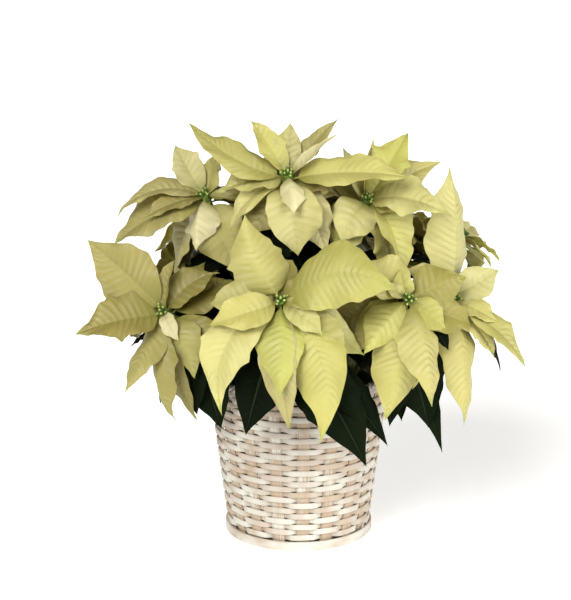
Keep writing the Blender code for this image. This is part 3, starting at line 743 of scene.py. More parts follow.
@dataclass(frozen=True)
class Growth:
    """One bloom with its stem, once every blade has found its room."""

    centre: Vector
    facing: Vector
    path: tuple
    bracts: list
    fillers: list
    leaves: list


def inside(blade):
    """Whether a blade's tip is within the solids' own reach, and above the basket."""
    low, high = cad_box
    reached = all(low[i] + FILLER_INSET < blade.tip[i] < high[i] - FILLER_INSET for i in range(3))
    return reached and blade.tip.z > LOWEST_FILLER_TIP


def squeezed_in(crowd, node, blades):
    """The blades that find room between those already placed, with a few bends tried for each."""
    found = []
    for blade in blades:
        for way in BENDS[:FILLER_WAYS]:
            trial = bent(blade, way)
            roomy = replace(trial, width=FILLER_ROOM * trial.width)
            if inside(trial) and not crowd.blocks(node, roomy, True):
                crowd.add_blade(node, trial)
                found.append(trial)
                break
    return found


def filler_bracts(centre, facing, rng):
    """Bracts by the golden angle, from the foot of the bloom's middle, hanging outwards."""
    side = facing.orthogonal().normalized()
    other = facing.cross(side)
    blades = []
    for index in range(FILLER_BRACTS):
        turn = (index + 0.5) * GOLDEN_ANGLE + rng.uniform(-0.2, 0.2)
        out = math.cos(turn) * side + math.sin(turn) * other
        length = rng.uniform(*FILLER_BRACT_LENGTHS) * MM
        hang = rng.uniform(*FILLER_BRACT_HANG) * facing + Vector((0, 0, FILLER_BRACT_FALL))
        root = centre - 0.9 * CORE_LENGTH * facing + BRACT_FOOT * out
        width = rng.uniform(*FILLER_BRACT_WIDTHS) * length
        fold = rng.uniform(*FILLER_BRACT_FOLDS)
        tip = root + length * (out - hang)
        blades.append(Blade(root, tip, facing, width, rise=24, droop=30, fold=fold, stalk=BRACT_STALK))
    return blades


def filler_leaves(path, centre, rng):
    """Leaves by the golden angle down the stem, near black, as painted shade in the plant's inside."""
    blades = []
    outward = Vector((centre.x, centre.y, 0)).normalized()
    for index in range(FILLER_LEAVES):
        root, _ = bezier(path, FIRST_FILLER_LEAF - FILLER_LEAF_STEP * index)
        turn = (index + 0.4) * GOLDEN_ANGLE + rng.uniform(-0.3, 0.3)
        way = Quaternion((0, 0, 1), turn) @ outward
        length = rng.uniform(*FILLER_LEAF_LENGTHS) * MM
        tip = root + length * (0.9 * way - Vector((0, 0, rng.uniform(*FILLER_LEAF_FALL))))
        look = (way * 0.3 + Vector((0, 0, 1))).normalized()
        width = FILLER_LEAF_WIDTH * length
        blades.append(Blade(root, tip, look, width, 22, 24, fold=6, lobe=LEAF_LOBE, stalk=LEAF_STALK))
    return blades


def crowd_with_middles(blooms, paths, rng):
    """The basket, stems, cores and cyathia, which every blade has to pass."""
    crowd = Crowd()
    for name in ("basket_weave", "basket_rim"):
        crowd.add(name, *corners_and_faces(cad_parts[name].data))
    for name, (centre, facing, _) in blooms.items():
        stem = stem_tube(paths[name])
        core = core_mesh(centre, facing)
        pad, buds = cyathia_meshes(centre, facing, rng)
        crowd.add("leafy_stem_" + name, *corners_and_faces(stem))
        crowd.add("bracts_" + name, *corners_and_faces(core))
        for mesh in (pad, *buds):
            crowd.add("cyathia_" + name, *corners_and_faces(mesh))
        for mesh in (stem, core, pad, *buds):
            bpy.data.meshes.remove(mesh)
    return crowd


def grown_plant():
    """All the blooms, their blades bent clear in the same order as in the solids."""
    rng = random.Random(SEED)
    blooms = all_blooms()
    soil_top = BOARD_THICKNESS + CLEARANCE + POT_WALL + SOIL_DEPTH
    paths = {name: stem_path(centre, facing, soil_top) for name, (centre, facing, _) in blooms.items()}
    crowd = crowd_with_middles(blooms, paths, rng)
    bracts = {
        name: settled(crowd, "bracts_" + name, bract_blades(centre, facing, bloom, rng))
        for name, (centre, facing, bloom) in blooms.items()
    }
    leaves = {
        name: settled(crowd, "leafy_stem_" + name, leaf_blades(paths[name], bloom, centre, facing, rng))
        for name, (centre, facing, bloom) in blooms.items()
    }
    fillers = {
        name: squeezed_in(crowd, "bracts_" + name, filler_bracts(centre, facing, rng))
        for name, (centre, facing, _) in blooms.items()
        if name not in WITHOUT_FILLERS
    }
    for name, (centre, _, _) in blooms.items():
        leaves[name] += squeezed_in(crowd, "leafy_stem_" + name, filler_leaves(paths[name], centre, rng))
    return {
        name: Growth(centre, facing, paths[name], bracts[name], fillers.get(name, []), leaves[name])
        for name, (centre, facing, _) in blooms.items()
    }


# Fine blades


@dataclass(frozen=True)
class Leafage:
    """What a kind of blade is like: metres, and shares where the name says so."""

    vein_spacing: float
    quilting: float
    crown_share: float
    ripple: float
    rib: float
    stalk_half: float
    vein_sweep_share: float
    bend_share: float


BRACT = Leafage(
    vein_spacing=6.4 * MM,
    quilting=1.3 * MM,
    crown_share=0.06,
    ripple=3.2 * MM,
    rib=0.8 * MM,
    stalk_half=1.2 * MM,
    vein_sweep_share=0.15,
    bend_share=0.04,
)
LEAF = Leafage(
    vein_spacing=8.0 * MM,
    quilting=0.35 * MM,
    crown_share=0.05,
    ripple=0.9 * MM,
    rib=0.8 * MM,
    stalk_half=1.3 * MM,
    vein_sweep_share=0.12,
    bend_share=0.0,
)

# Half of a blade's columns, from the midrib to the margin, closer together at the midrib
HALF_COLUMNS = [0.07, 0.2, 0.38, 0.56, 0.74, 0.9, 1]
COLUMNS = np.array([-place for place in reversed(HALF_COLUMNS)] + [0] + HALF_COLUMNS)
ROWS_PER_VEIN = 4
STALK_ROWS = 4
FEWEST_VEINS = 4
SKIN_THICKNESS = 0.45 * MM

# Margins: a little wider than the solids', uneven, with a drawn-out point
WIDENING = 1.06
UNEVENNESS = 0.10
RAGGEDNESS = 0.022
POINT_FROM = 0.66
POINT_PINCH = 0.45
NARROWEST_TIP = 0.25 * MM
TOOTH_HALF_LENGTH = 0.07
TOOTH_GROWTH = 1.4
TOOTH_SHARPNESS = 1.4
SMALL_TOOTH_PLACE = 0.56
LARGE_TOOTH_PLACE = 0.5

# Relief: the fold at the midrib, quilting between veins, waves, curled edges, groove and rib
FOLD_GROWTH = 2.0
FOLD_LIMITS = (-36, 40)
QUILTING_SHARES = (0.2, 0.35, 0.55, 0.9)
BUCKLING = 0.9 * MM
RIPPLE_COUNTS = (1.5, 2, 2.5)
FRILL_SHARE = 0.25
FRILLS_PER_RIPPLE = 3.1
TWIST = 18
CURL_SHARE = 0.16
GROOVE_DEPTH = 0.35 * MM
GROOVE_HALF = 0.9 * MM
RIB_HALF = 1.2 * MM


def bezier_grid(points, t):
    """Places and unit headings for an array of shares along the midrib."""
    a, b, c, d = (np.array(p) for p in points)
    t = t[..., None]
    s = 1 - t
    place = s**3 * a + 3 * s * s * t * b + 3 * s * t * t * c + t**3 * d
    heading = s * s * (b - a) + 2 * s * t * (c - b) + t * t * (d - c)
    return place, heading / np.linalg.norm(heading, axis=-1, keepdims=True)


def wave(cycles, start, lead=0.0):
    return np.sin(2 * math.pi * (cycles + start) + lead)


def toothed(swept, blade):
    """How much wider each margin is, with a pointed lobe where the solid has its own."""
    if not blade.lobe:
        return np.ones_like(swept)
    place = LARGE_TOOTH_PLACE if blade.width > LARGE_WIDTH else SMALL_TOOTH_PLACE
    bump = np.clip(1 - np.abs(swept - place) / TOOTH_HALF_LENGTH, 0, 1)
    return 1 + TOOTH_GROWTH * blade.lobe * bump**TOOTH_SHARPNESS


def half_widths(blade, kind, share, swept, side, rng):
    """Half the blade's width at each point, its margins a little uneven."""
    narrowest = kind.stalk_half * (1 - share) + NARROWEST_TIP * share
    pinch = 1 - POINT_PINCH * np.clip((swept - POINT_FROM) / (1 - POINT_FROM), 0, 1)
    half = blade.width / 2 * outline(np.clip(swept, 0, 1)) * toothed(swept, blade) * pinch
    uneven = 1 + UNEVENNESS * wave(0.9 * swept, rng.random(), 2.2 * side)
    ragged = 1 + RAGGEDNESS * wave(5.3 * swept, rng.random(), side)
    return np.maximum(WIDENING * half * uneven * ragged, narrowest)


def quilted(kind, size, veins, share, v, rng):
    """The pillows between the side veins, and each point's count of veins from the foot."""
    out = np.abs(v)
    rise = np.clip(out / 0.2, 0, 1) * (1 - 0.45 * out)
    patches = 0.55 + 0.55 * wave(1.7 * share, rng.random(), rng.uniform(1.0, 3.5) * v)
    vein_count = share * veins + 0.24 * wave(2.3 * share, rng.random(), 1.5 * v) * out
    pillow = np.abs(np.sin(math.pi * vein_count)) ** 0.8 - 0.5
    return kind.quilting * rng.choice(QUILTING_SHARES) * size * pillow * rise * patches, vein_count


def rippled(kind, size, share, swept, v, rng):
    """Buckles all over, and waves and frills that grow towards the margins."""
    out = np.abs(v)
    buckle = BUCKLING * size * wave(3.1 * share + 0.7 * v, rng.random()) * out
    count = rng.choice(RIPPLE_COUNTS)
    start = np.where(v < 0, rng.random(), np.where(v > 0, rng.random(), 0.0))
    ripple = kind.ripple * size * out**2 * wave(count * swept, start)
    frill = FRILL_SHARE * kind.ripple * size * out**4 * wave(FRILLS_PER_RIPPLE * count * swept, 2 * start)
    return buckle + ripple + frill


def fine_blade(blade, kind, rng):
    """A blade's upper and under points, its vein counts, places across and shares of its length."""
    length = (blade.tip - blade.root).length
    size = min(1.0, blade.width / LARGE_WIDTH)
    veins = max(FEWEST_VEINS, round(length * (1 - blade.stalk) / kind.vein_spacing))
    stalk_shares = np.linspace(0, blade.stalk, STALK_ROWS)[:-1]
    leafy = np.linspace(0, 1, veins * ROWS_PER_VEIN + 1)
    share = np.concatenate([np.zeros(len(stalk_shares)), leafy])[:, None]
    v = COLUMNS[None, :]
    out = np.abs(v)
    swept = share + kind.vein_sweep_share * out**1.2 * 4 * share * (1 - share)
    half = half_widths(blade, kind, share, swept, np.sign(v), rng)
    along = blade.stalk + (1 - blade.stalk) * swept
    along[: len(stalk_shares)] = stalk_shares[:, None]
    x = v * half

    leafy_fade = np.sin(math.pi * np.clip(swept, 0, 1)) ** 0.6
    fold = math.radians(np.clip(FOLD_GROWTH * blade.fold, *FOLD_LIMITS))
    cupped = -1 if blade.fold > 12 else 1
    crown = cupped * kind.crown_share * half * (1 - (2 * out - 1) ** 2)
    quilt, vein_count = quilted(kind, size, veins, share, v, rng)
    ripple = rippled(kind, size, share, swept, v, rng)
    twist = math.radians(rng.uniform(-TWIST, TWIST))
    curl = -rng.uniform(0.0, CURL_SHARE) * half * out**3
    height = np.abs(x) * math.sin(fold) + (crown + quilt + ripple + curl) * leafy_fade
    height = height + x * np.tan(twist * (along - 0.3))
    groove = GROOVE_DEPTH * np.exp(-((x / GROOVE_HALF) ** 2)) * leafy_fade
    rib = kind.rib * (1 - 0.8 * share) * np.exp(-((x / RIB_HALF) ** 2))

    points, across = midrib(blade)
    place, heading = bezier_grid(points, np.clip(along, 0, 1))
    across = np.array(across)
    normal = np.cross(across, heading)
    bend = rng.uniform(-1, 1) * kind.bend_share * length * np.sin(math.pi * along)
    centre = place + (bend + x * math.cos(fold))[..., None] * across
    upper = centre + (height - groove + SKIN_THICKNESS / 2)[..., None] * normal
    under = centre + (height - groove - SKIN_THICKNESS / 2 - rib)[..., None] * normal
    return upper, under, vein_count, v + 0 * share, along


def closed_sheet(rows, columns):
    """Faces of an upper and an under grid of points, joined round the margin; and how many join them."""
    index = np.arange(rows * columns).reshape(rows, columns)
    a, b, c, d = index[:-1, :-1], index[:-1, 1:], index[1:, 1:], index[1:, :-1]
    upper = np.stack([a, b, c, d], -1).reshape(-1, 4)
    under = np.stack([d, c, b, a], -1).reshape(-1, 4) + rows * columns
    ring = np.concatenate([index[0, :], index[1:, -1], index[-1, -2::-1], index[-2:0:-1, 0]])
    after = np.roll(ring, -1)
    margin = np.stack([after, ring, ring + rows * columns, after + rows * columns], -1)
    return np.concatenate([upper, under, margin]), len(margin)


def fill_attribute(mesh, name, kind, field, values):
    """Stores one value for each point of a mesh."""
    attribute = mesh.attributes.new(name, kind, "POINT")
    attribute.data.foreach_set(field, np.asarray(values, dtype=np.float32).ravel())


def foliage(name, blades, kind, tint, rng):
    """One mesh of all the fine blades of a bloom or a stem."""
    corners, faces, blade_uv, tints, shares, sharp = [], [], [], [], [], []
    start = 0
    for index, blade in enumerate(blades):
        upper, under, vein_count, across, along = fine_blade(blade, kind, rng)
        rows, columns = vein_count.shape
        sheet, margin_faces = closed_sheet(rows, columns)
        corners += [upper.reshape(-1, 3), under.reshape(-1, 3)]
        faces.append(sheet + start)
        sharp += [False] * (len(sheet) - margin_faces) + [True] * margin_faces
        blade_uv += 2 * [np.stack([vein_count, across], -1).reshape(-1, 2)]
        count = 2 * rows * columns
        tints.append(np.tile(tint(index, rng), (count, 1)))
        shares += 2 * [along.reshape(-1)]
        start += count
    faces = np.concatenate(faces)
    mesh = bpy.data.meshes.new(name)
    mesh.from_pydata(np.concatenate(corners).tolist(), [], faces.tolist())
    mesh.update()
    layer = mesh.uv_layers.new(name="blade")
    loops = np.zeros(len(mesh.loops), dtype=np.int64)
    mesh.loops.foreach_get("vertex_index", loops)
    layer.data.foreach_set("uv", np.concatenate(blade_uv)[loops].astype(np.float32).ravel())
    fill_attribute(mesh, "along", "FLOAT", "value", np.concatenate(shares))
    fill_attribute(mesh, "tint", "FLOAT_COLOR", "color", np.concatenate(tints))
    mesh.shade_smooth()
    sharpen_margins(mesh, faces[np.array(sharp)])
    return mesh


def sharpen_margins(mesh, margin):
    """Keeps the thin margin's shading apart from that of the two sides."""
    edges = set()
    for a, b, c, d in margin.tolist():
        edges |= {frozenset((a, b)), frozenset((c, d))}
    values = [frozenset(edge.vertices) in edges for edge in mesh.edges]
    attribute = mesh.attributes.new("sharp_edge", "BOOLEAN", "EDGE")
    attribute.data.foreach_set("value", values)


# Tints of the blades

# Bract colours, and how much of each a bloom has: cream, olive, yellow-green, near white
BRACT_COLOURS = ("#C8BD72", "#857939", "#AEB23C", "#DCD3A8")
# The bracts behind the shown ones, fillers among them, are blended towards this dark olive as painted shade
INNER_BRACT_SHADE_COLOUR = "#80742A"
INNER_SHADE_SHARE = 0.65
EVEN_TINTS = (0.6, 0.5, 0.25, 0.1)
# The left and upper-left blooms lean to olive partly as painted shade, besides their own olive colour
BLOOM_TINTS = {
    "front": (0.8, 0.45, 0.3, 0.15),
    "left": (0.05, 1.0, 0.03, 0.0),
    "upper_left": (0.1, 1.0, 0.05, 0.1),
    "top": (0.9, 0.45, 0.3, 0.35),
    "upper_right": (0.8, 0.1, 0.8, 0.3),
    "right": (0.8, 0.3, 0.6, 0.1),
    "far_right": (1.0, 0.1, 0.5, 0.25),
    "right_rear": (0.6, 0.0, 0.9, 0.3),
}

# The bracts in front of a bloom's middle that catch the light, painted pale as a painted highlight, by bloom
HIGHLIGHT_BRACTS = {"left": (0,), "upper_left": (2,), "top": (0,), "far_right": (0,)}
BRACT_HIGHLIGHT_COLOUR = "#D6CC9C"
# Leaf colours: partly the leaf's own dark green, darkened to near black as painted shade
LEAF_COLOURS = ("#080D05", "#101909")


def linear(hex_colour):
    """A linear colour from an sRGB hex value."""
    parts = [int(hex_colour[i : i + 2], 16) / 255 for i in (1, 3, 5)]
    return (*[p / 12.92 if p <= 0.04045 else ((p + 0.055) / 1.055) ** 2.4 for p in parts], 1.0)


def bract_tint(name, shown):
    """Gives each bract its own blend of the bloom's colours; those behind the shown ones are darkened towards
    olive as painted shade, and the listed front ones are painted pale as a painted highlight.
    """
    shares = BLOOM_TINTS.get(name, EVEN_TINTS)
    pale = HIGHLIGHT_BRACTS.get(name, ())
    colours = np.array([linear(colour) for colour in BRACT_COLOURS])
    inner = np.array(linear(INNER_BRACT_SHADE_COLOUR))

    def tint(index, rng):
        weights = np.array([share * rng.random() ** 1.5 + 0.02 for share in shares])
        blend = weights @ colours / weights.sum()
        if index in pale:
            return linear(BRACT_HIGHLIGHT_COLOUR)
        return blend if index < shown else (1 - INNER_SHADE_SHARE) * blend + INNER_SHADE_SHARE * inner

    return tint


def leaf_tint(index, rng):
    dark, lighter = (np.array(linear(colour)) for colour in LEAF_COLOURS)
    return dark + rng.random() * (lighter - dark)


# Nodes for materials and for geometry

MATH = "ShaderNodeMath"
MIX = "ShaderNodeMix"
RAMP = "ShaderNodeMapRange"
NOISE = "ShaderNodeTexNoise"
SMOOTH = "SMOOTHSTEP"


def add_node(tree, kind, inputs=(), **settings):
    """Adds a node with its settings, fills or links its inputs, and gives back its outputs."""
    made = tree.nodes.new(kind)
    for name, value in settings.items():
        setattr(made, name, value)
    for key, value in inputs.items() if isinstance(inputs, dict) else enumerate(inputs):
        if isinstance(value, bpy.types.NodeSocket):
            tree.links.new(value, made.inputs[key])
        else:
            made.inputs[key].default_value = value
    return made.outputs


def painted(tree, colour, *coats):
    """A colour with coats over it, each given by its share and its own colour."""
    for share, over in coats:
        colour = add_node(tree, MIX, {0: share, 6: colour, 7: over}, data_type="RGBA")[2]
    return colour


def new_finish(name, roughness, ior):
    """A material with its shader's plain values set, and its node tree."""
    material = bpy.data.materials.new(name)
    material.use_nodes = True
    tree = material.node_tree
    shader = tree.nodes["Principled BSDF"]
    shader.inputs["Roughness"].default_value = roughness
    shader.inputs["IOR"].default_value = ior
    return material, tree, shader


def surfaced(tree, shader, colour, relief, depth, strength=1.0):
    """Ends a material: its colour, and a relief as a bump of so many metres."""
    bump = add_node(tree, "ShaderNodeBump", {"Height": relief, "Distance": depth, "Strength": strength})[0]
    tree.links.new(colour, shader.inputs["Base Color"])
    tree.links.new(bump, shader.inputs["Normal"])


# Sizes of the finishes' patterns
BRACT_BLOTCH = 35.7 * MM
BRACT_PATCH = 22.2 * MM
BRACT_VEIN_NET = 2.38 * MM
LEAF_BLOTCH = 25 * MM
LEAF_VEIN_NET = 2 * MM
STEM_STREAK_WIDTH = 3.33 * MM
STEM_STREAK_LENGTH = 40 * MM
BUD_MOTTLE = 2.86 * MM
DUST_CLOUD = 16.7 * MM
ORANGE_PEEL = 1.11 * MM
PEAT_CRUMB = 3.33 * MM
PEAT_FIBRE = 11.1 * MM

# Streaks and patches of whitewash in each metre along and across a strip
WASH_STREAKS = (30, 900, 1)
WASH_PATCHES = (22, 40, 1)


def blade_patterns(tree, blotch_size, blotch_detail, net_size):
    """What bracts and leaves share: vein count, distance from the midrib, blotches, fine net and more."""
    place = add_node(tree, "ShaderNodeTexCoord")["Object"]
    uv = add_node(tree, "ShaderNodeUVMap", uv_map="blade")[0]
    vein_count, across, _ = add_node(tree, "ShaderNodeSeparateXYZ", (uv,))
    tint = add_node(tree, "ShaderNodeAttribute", attribute_name="tint")["Color"]
    along = add_node(tree, "ShaderNodeAttribute", attribute_name="along")["Fac"]
    blotch_inputs = {"Vector": place, "Scale": 1 / blotch_size, "Detail": blotch_detail}
    blotch = add_node(tree, NOISE, blotch_inputs)[0]
    net_inputs = {"Vector": place, "Scale": 1 / net_size}
    net = add_node(tree, "ShaderNodeTexVoronoi", net_inputs, feature="DISTANCE_TO_EDGE")[0]
    net = add_node(tree, RAMP, (net, 0.0, 0.12, 0.0, 0.4), interpolation_type=SMOOTH)[0]
    from_midrib = add_node(tree, MATH, (across,), operation="ABSOLUTE")[0]
    return place, vein_count, from_midrib, tint, along, blotch, net


def bract_finish():
    """Fresh bract: thin, matt, pale cream with fine sunken veins, so light glows through it a little."""
    material, tree, shader = new_finish("fresh_cream_bract", 0.44, 1.42)
    patterns = blade_patterns(tree, BRACT_BLOTCH, 3.0, BRACT_VEIN_NET)
    place, vein_count, from_midrib, tint, along, blotch, net = patterns
    patch = add_node(tree, NOISE, {"Vector": place, "Scale": 1 / BRACT_PATCH, "Detail": 2.0})[0]
    pleated = add_node(tree, RAMP, (patch, 0.42, 0.62, 0.15, 1.0), interpolation_type=SMOOTH)[0]

    shaky = add_node(tree, MATH, (blotch, 0.3, vein_count), operation="MULTIPLY_ADD")[0]
    phase = add_node(tree, MATH, (shaky,), operation="FRACT")[0]
    off_crest = add_node(tree, MATH, (phase, 0.65), operation="SUBTRACT")[0]
    from_crest = add_node(tree, MATH, (off_crest,), operation="ABSOLUTE")[0]
    vein = add_node(tree, RAMP, (from_crest, 0.40, 0.5), interpolation_type=SMOOTH)[0]
    vein_fade = add_node(tree, RAMP, (from_midrib, 1.0, 0.2), interpolation_type=SMOOTH)[0]
    for share in (vein_fade, pleated):
        vein = add_node(tree, MATH, (vein, share), operation="MULTIPLY")[0]
    # Crest of each quilted pillow, where the ridge faces the light: the mask of a painted highlight
    crest_highlight = add_node(tree, RAMP, (from_crest, 0.34, 0.06, 0.0, 0.09), interpolation_type=SMOOTH)[0]

    coats = (
        (add_node(tree, RAMP, (blotch, 0.35, 0.75, 0.0, 0.3), interpolation_type=SMOOTH)[0], "#A2984E"),
        # near white on the crests of the pleats: painted highlight
        (add_node(tree, MATH, (crest_highlight, pleated), operation="MULTIPLY")[0], "#E9E3C6"),
        (add_node(tree, RAMP, (along, 0.86, 1.0, 0.0, 0.5), interpolation_type=SMOOTH)[0], "#8FA03C"),
        # darker olive towards the foot: partly the bract's own greener base, partly painted shade where the
        # bracts crowd at the bloom's middle
        (add_node(tree, RAMP, (along, 0.36, 0.02, 0.0, 0.75), interpolation_type=SMOOTH)[0], "#7E7C2C"),
        # darker olive along the sunken veins: partly the veins' own green, partly painted shade in their
        # grooves
        (add_node(tree, MATH, (vein, 0.17), operation="MULTIPLY")[0], "#868A38"),
        (add_node(tree, RAMP, (from_midrib, 0.07, 0.015, 0.0, 0.2), interpolation_type=SMOOTH)[0], "#A8AC58"),
    )
    cream = painted(tree, tint, *[(share, linear(colour)) for share, colour in coats])
    relief = add_node(tree, MATH, (net, vein), operation="SUBTRACT")[0]
    surfaced(tree, shader, cream, relief, 0.5 * MM, 0.8)
    shader.inputs["Subsurface Weight"].default_value = 0.2
    shader.inputs["Subsurface Radius"].default_value = (1.0, 0.85, 0.3)
    shader.inputs["Subsurface Scale"].default_value = 2 * MM
    shader.inputs["Specular IOR Level"].default_value = 0.6
    return material


def leaf_finish():
    """Poinsettia leaf: leathery, a dark green painted darker still to near black as painted shade, with
    hair-fine pale veins.
    """
    material, tree, shader = new_finish("dark_poinsettia_leaf", 0.58, 1.45)
    patterns = blade_patterns(tree, LEAF_BLOTCH, 4.0, LEAF_VEIN_NET)
    _, vein_count, from_midrib, tint, along, blotch, net = patterns
    shifted = add_node(tree, MATH, (vein_count, 0.5), operation="ADD")[0]
    phase = add_node(tree, MATH, (shifted,), operation="FRACT")[0]
    off_vein = add_node(tree, MATH, (phase, 0.5), operation="SUBTRACT")[0]
    from_vein = add_node(tree, MATH, (off_vein,), operation="ABSOLUTE")[0]
    vein = add_node(tree, RAMP, (from_vein, 0.055, 0.0), interpolation_type=SMOOTH)[0]
    vein_fade = add_node(tree, RAMP, (from_midrib, 0.95, 0.3), interpolation_type=SMOOTH)[0]
    vein = add_node(tree, MATH, (vein, vein_fade), operation="MULTIPLY")[0]
    coats = (
        (add_node(tree, RAMP, (blotch, 0.3, 0.7, 0.0, 0.5), interpolation_type=SMOOTH)[0], "#0C1408"),
        (add_node(tree, MATH, (vein, 0.45), operation="MULTIPLY")[0], "#1E2718"),
        (add_node(tree, RAMP, (from_midrib, 0.06, 0.01, 0.0, 0.6), interpolation_type=SMOOTH)[0], "#2C3822"),
        (add_node(tree, RAMP, (along, 0.2, 0.08), interpolation_type=SMOOTH)[0], "#3C5224"),
    )
    green = painted(tree, tint, *[(share, linear(colour)) for share, colour in coats])
    relief = add_node(tree, MATH, (net, vein), operation="SUBTRACT")[0]
    surfaced(tree, shader, green, relief, 0.3 * MM, 0.5)
    shader.inputs["Specular IOR Level"].default_value = 0.04
    return material


def stem_finish():
    """Soft green stem, smooth and a little waxy, browner where it turns woody near the soil."""
    material, tree, shader = new_finish("green_stem", 0.45, 1.45)
    place = add_node(tree, "ShaderNodeTexCoord")["Object"]
    height = add_node(tree, "ShaderNodeSeparateXYZ", (place,))[2]
    streaks = (1 / STEM_STREAK_WIDTH, 1 / STEM_STREAK_WIDTH, 1 / STEM_STREAK_LENGTH)
    streak = add_node(tree, "ShaderNodeMapping", {"Vector": place, "Scale": streaks})[0]
    streak = add_node(tree, NOISE, {"Vector": streak, "Scale": 1.0, "Detail": 4.0})[0]
    woody = add_node(tree, RAMP, (height, 0.22, 0.14, 0.0, 0.8), interpolation_type=SMOOTH)[0]
    green = painted(tree, linear("#4E6A2C"), (streak, linear("#86A04A")), (woody, linear("#7A6A42")))
    surfaced(tree, shader, green, streak, 0.2 * MM, 0.5)
    return material


def bud_finish():
    """Cyathia: glossy fresh green cups that turn yellow at their mouths."""
    material, tree, shader = new_finish("green_cyathium", 0.38, 1.45)
    mouth = add_node(tree, "ShaderNodeAttribute", attribute_name="mouth")["Fac"]
    mouth = add_node(tree, RAMP, (mouth, 0.74, 0.95), interpolation_type=SMOOTH)[0]
    place = add_node(tree, "ShaderNodeTexCoord")["Object"]
    mottle = add_node(tree, NOISE, {"Vector": place, "Scale": 1 / BUD_MOTTLE, "Detail": 3.0})[0]
    green = painted(tree, linear("#35551C"), (mottle, linear("#64873A")), (mouth, linear("#B9BE62")))
    tree.links.new(green, shader.inputs["Base Color"])
    return material


def willow_finish(name, white_share, tan):
    """Peeled willow under a thin whitewash, which has settled in streaks along the grain."""
    material, tree, shader = new_finish(name, 0.72, 1.5)
    grain = add_node(tree, "ShaderNodeAttribute", attribute_name="grain")["Vector"]
    fine = add_node(tree, "ShaderNodeMapping", {"Vector": grain, "Scale": WASH_STREAKS})[0]
    broad = add_node(tree, "ShaderNodeMapping", {"Vector": grain, "Scale": WASH_PATCHES})[0]
    streaks = add_node(tree, NOISE, {"Vector": fine, "Scale": 1.0, "Detail": 5.0})[0]
    patches = add_node(tree, NOISE, {"Vector": broad, "Scale": 1.0, "Detail": 3.0})[0]
    thin = add_node(tree, RAMP, (patches, 0.62, 0.40, 0.0, 0.45), interpolation_type=SMOOTH)[0]
    cover = add_node(tree, MATH, (streaks, 0.5, patches), operation="MULTIPLY_ADD")[0]
    bare, covered = 0.95 - white_share * 0.5, 1.05 - white_share * 0.35
    cover = add_node(tree, RAMP, (cover, bare, covered), interpolation_type=SMOOTH)[0]
    wood = painted(tree, linear(tan), (streaks, linear("#C6B29A")))
    wash = painted(tree, linear("#B4AFA0"), (patches, linear("#DDD9CC")), (thin, linear("#B5A091")))
    surfaced(tree, shader, painted(tree, wood, (cover, wash)), streaks, 0.3 * MM, 0.6)
    return material


def plastic_finish():
    """Thin vacuum-formed plant pot: dull dark green with a faint orange-peel skin and dust."""
    material, tree, shader = new_finish("formed_green_plastic", 0.5, 1.49)
    place = add_node(tree, "ShaderNodeTexCoord")["Object"]
    dust = add_node(tree, NOISE, {"Vector": place, "Scale": 1 / DUST_CLOUD, "Detail": 6.0})[0]
    dust = add_node(tree, RAMP, (dust, 0.5, 0.75, 0.0, 0.5), interpolation_type=SMOOTH)[0]
    peel = add_node(tree, NOISE, {"Vector": place, "Scale": 1 / ORANGE_PEEL, "Detail": 2.0})[0]
    surfaced(tree, shader, painted(tree, linear("#1F2B1F"), (dust, linear("#5B5446"))), peel, 0.05 * MM)
    return material


def peat_finish():
    """Moist peat: dark brown, rough, with paler fibres."""
    material, tree, shader = new_finish("moist_peat", 0.95, 1.4)
    place = add_node(tree, "ShaderNodeTexCoord")["Object"]
    crumbs = add_node(tree, NOISE, {"Vector": place, "Scale": 1 / PEAT_CRUMB, "Detail": 8.0})[0]
    fibres = add_node(tree, NOISE, {"Vector": place, "Scale": 1 / PEAT_FIBRE, "Distortion": 2.5})[0]
    fibres = add_node(tree, RAMP, (fibres, 0.62, 0.70, 0.0, 0.6), interpolation_type=SMOOTH)[0]
    brown = painted(tree, linear("#1A120D"), (crumbs, linear("#4A382A")), (fibres, linear("#7A6248")))
    surfaced(tree, shader, brown, crumbs, 1.5 * MM)
    return material


# Shapes made with Geometry Nodes

# Basket details that the solids leave plain
STAKE_TURN = math.radians(-86.7)
STAKE_WIDTH = 13.0 * MM
STAKE_THICKNESS = 1.1 * MM
STAKE_BOW = 0.35 * MM
STAKE_CROWN = 1.6 * MM
WEAVER_WIDTH = 5.9 * MM
WEAVER_THICKNESS = 2.0 * MM
WEAVER_SWING = 1.7 * MM
WEAVER_SWAY = 1.6 * MM
WEAVER_POINTS_PER_STAKE = 12
WEAVE_DEPTH = 1.6 * MM
ROPE_POINTS = 312


def tree_with_inputs(name, inputs):
    """A geometry tree that takes the named numbers, and the sockets that give them."""
    tree = bpy.data.node_groups.new(name, "GeometryNodeTree")
    tree.interface.new_socket("Geometry", in_out="INPUT", socket_type="NodeSocketGeometry")
    for label, value in inputs.items():
        kind = {int: "NodeSocketInt", float: "NodeSocketFloat"}.get(type(value), "NodeSocketMaterial")
        tree.interface.new_socket(label, in_out="INPUT", socket_type=kind)
    tree.interface.new_socket("Geometry", in_out="OUTPUT", socket_type="NodeSocketGeometry")
    return tree, add_node(tree, "NodeGroupInput")


def grown(name, tree, inputs):
    """The plain mesh that a geometry tree makes from its inputs."""
    obj = bpy.data.objects.new(name, bpy.data.meshes.new(name))
    bpy.context.scene.collection.objects.link(obj)
    modifier = obj.modifiers.new("grow", "NODES")
    modifier.node_group = tree
    for item in tree.interface.items_tree:
        if item.in_out == "INPUT" and item.name in inputs:
            modifier[item.identifier] = inputs[item.name]
    bpy.context.view_layer.update()
    made = bpy.data.meshes.new_from_object(obj.evaluated_get(bpy.context.evaluated_depsgraph_get()))
    obj.modifiers.remove(modifier)
    made.name = name
    obj.data = made
    return obj


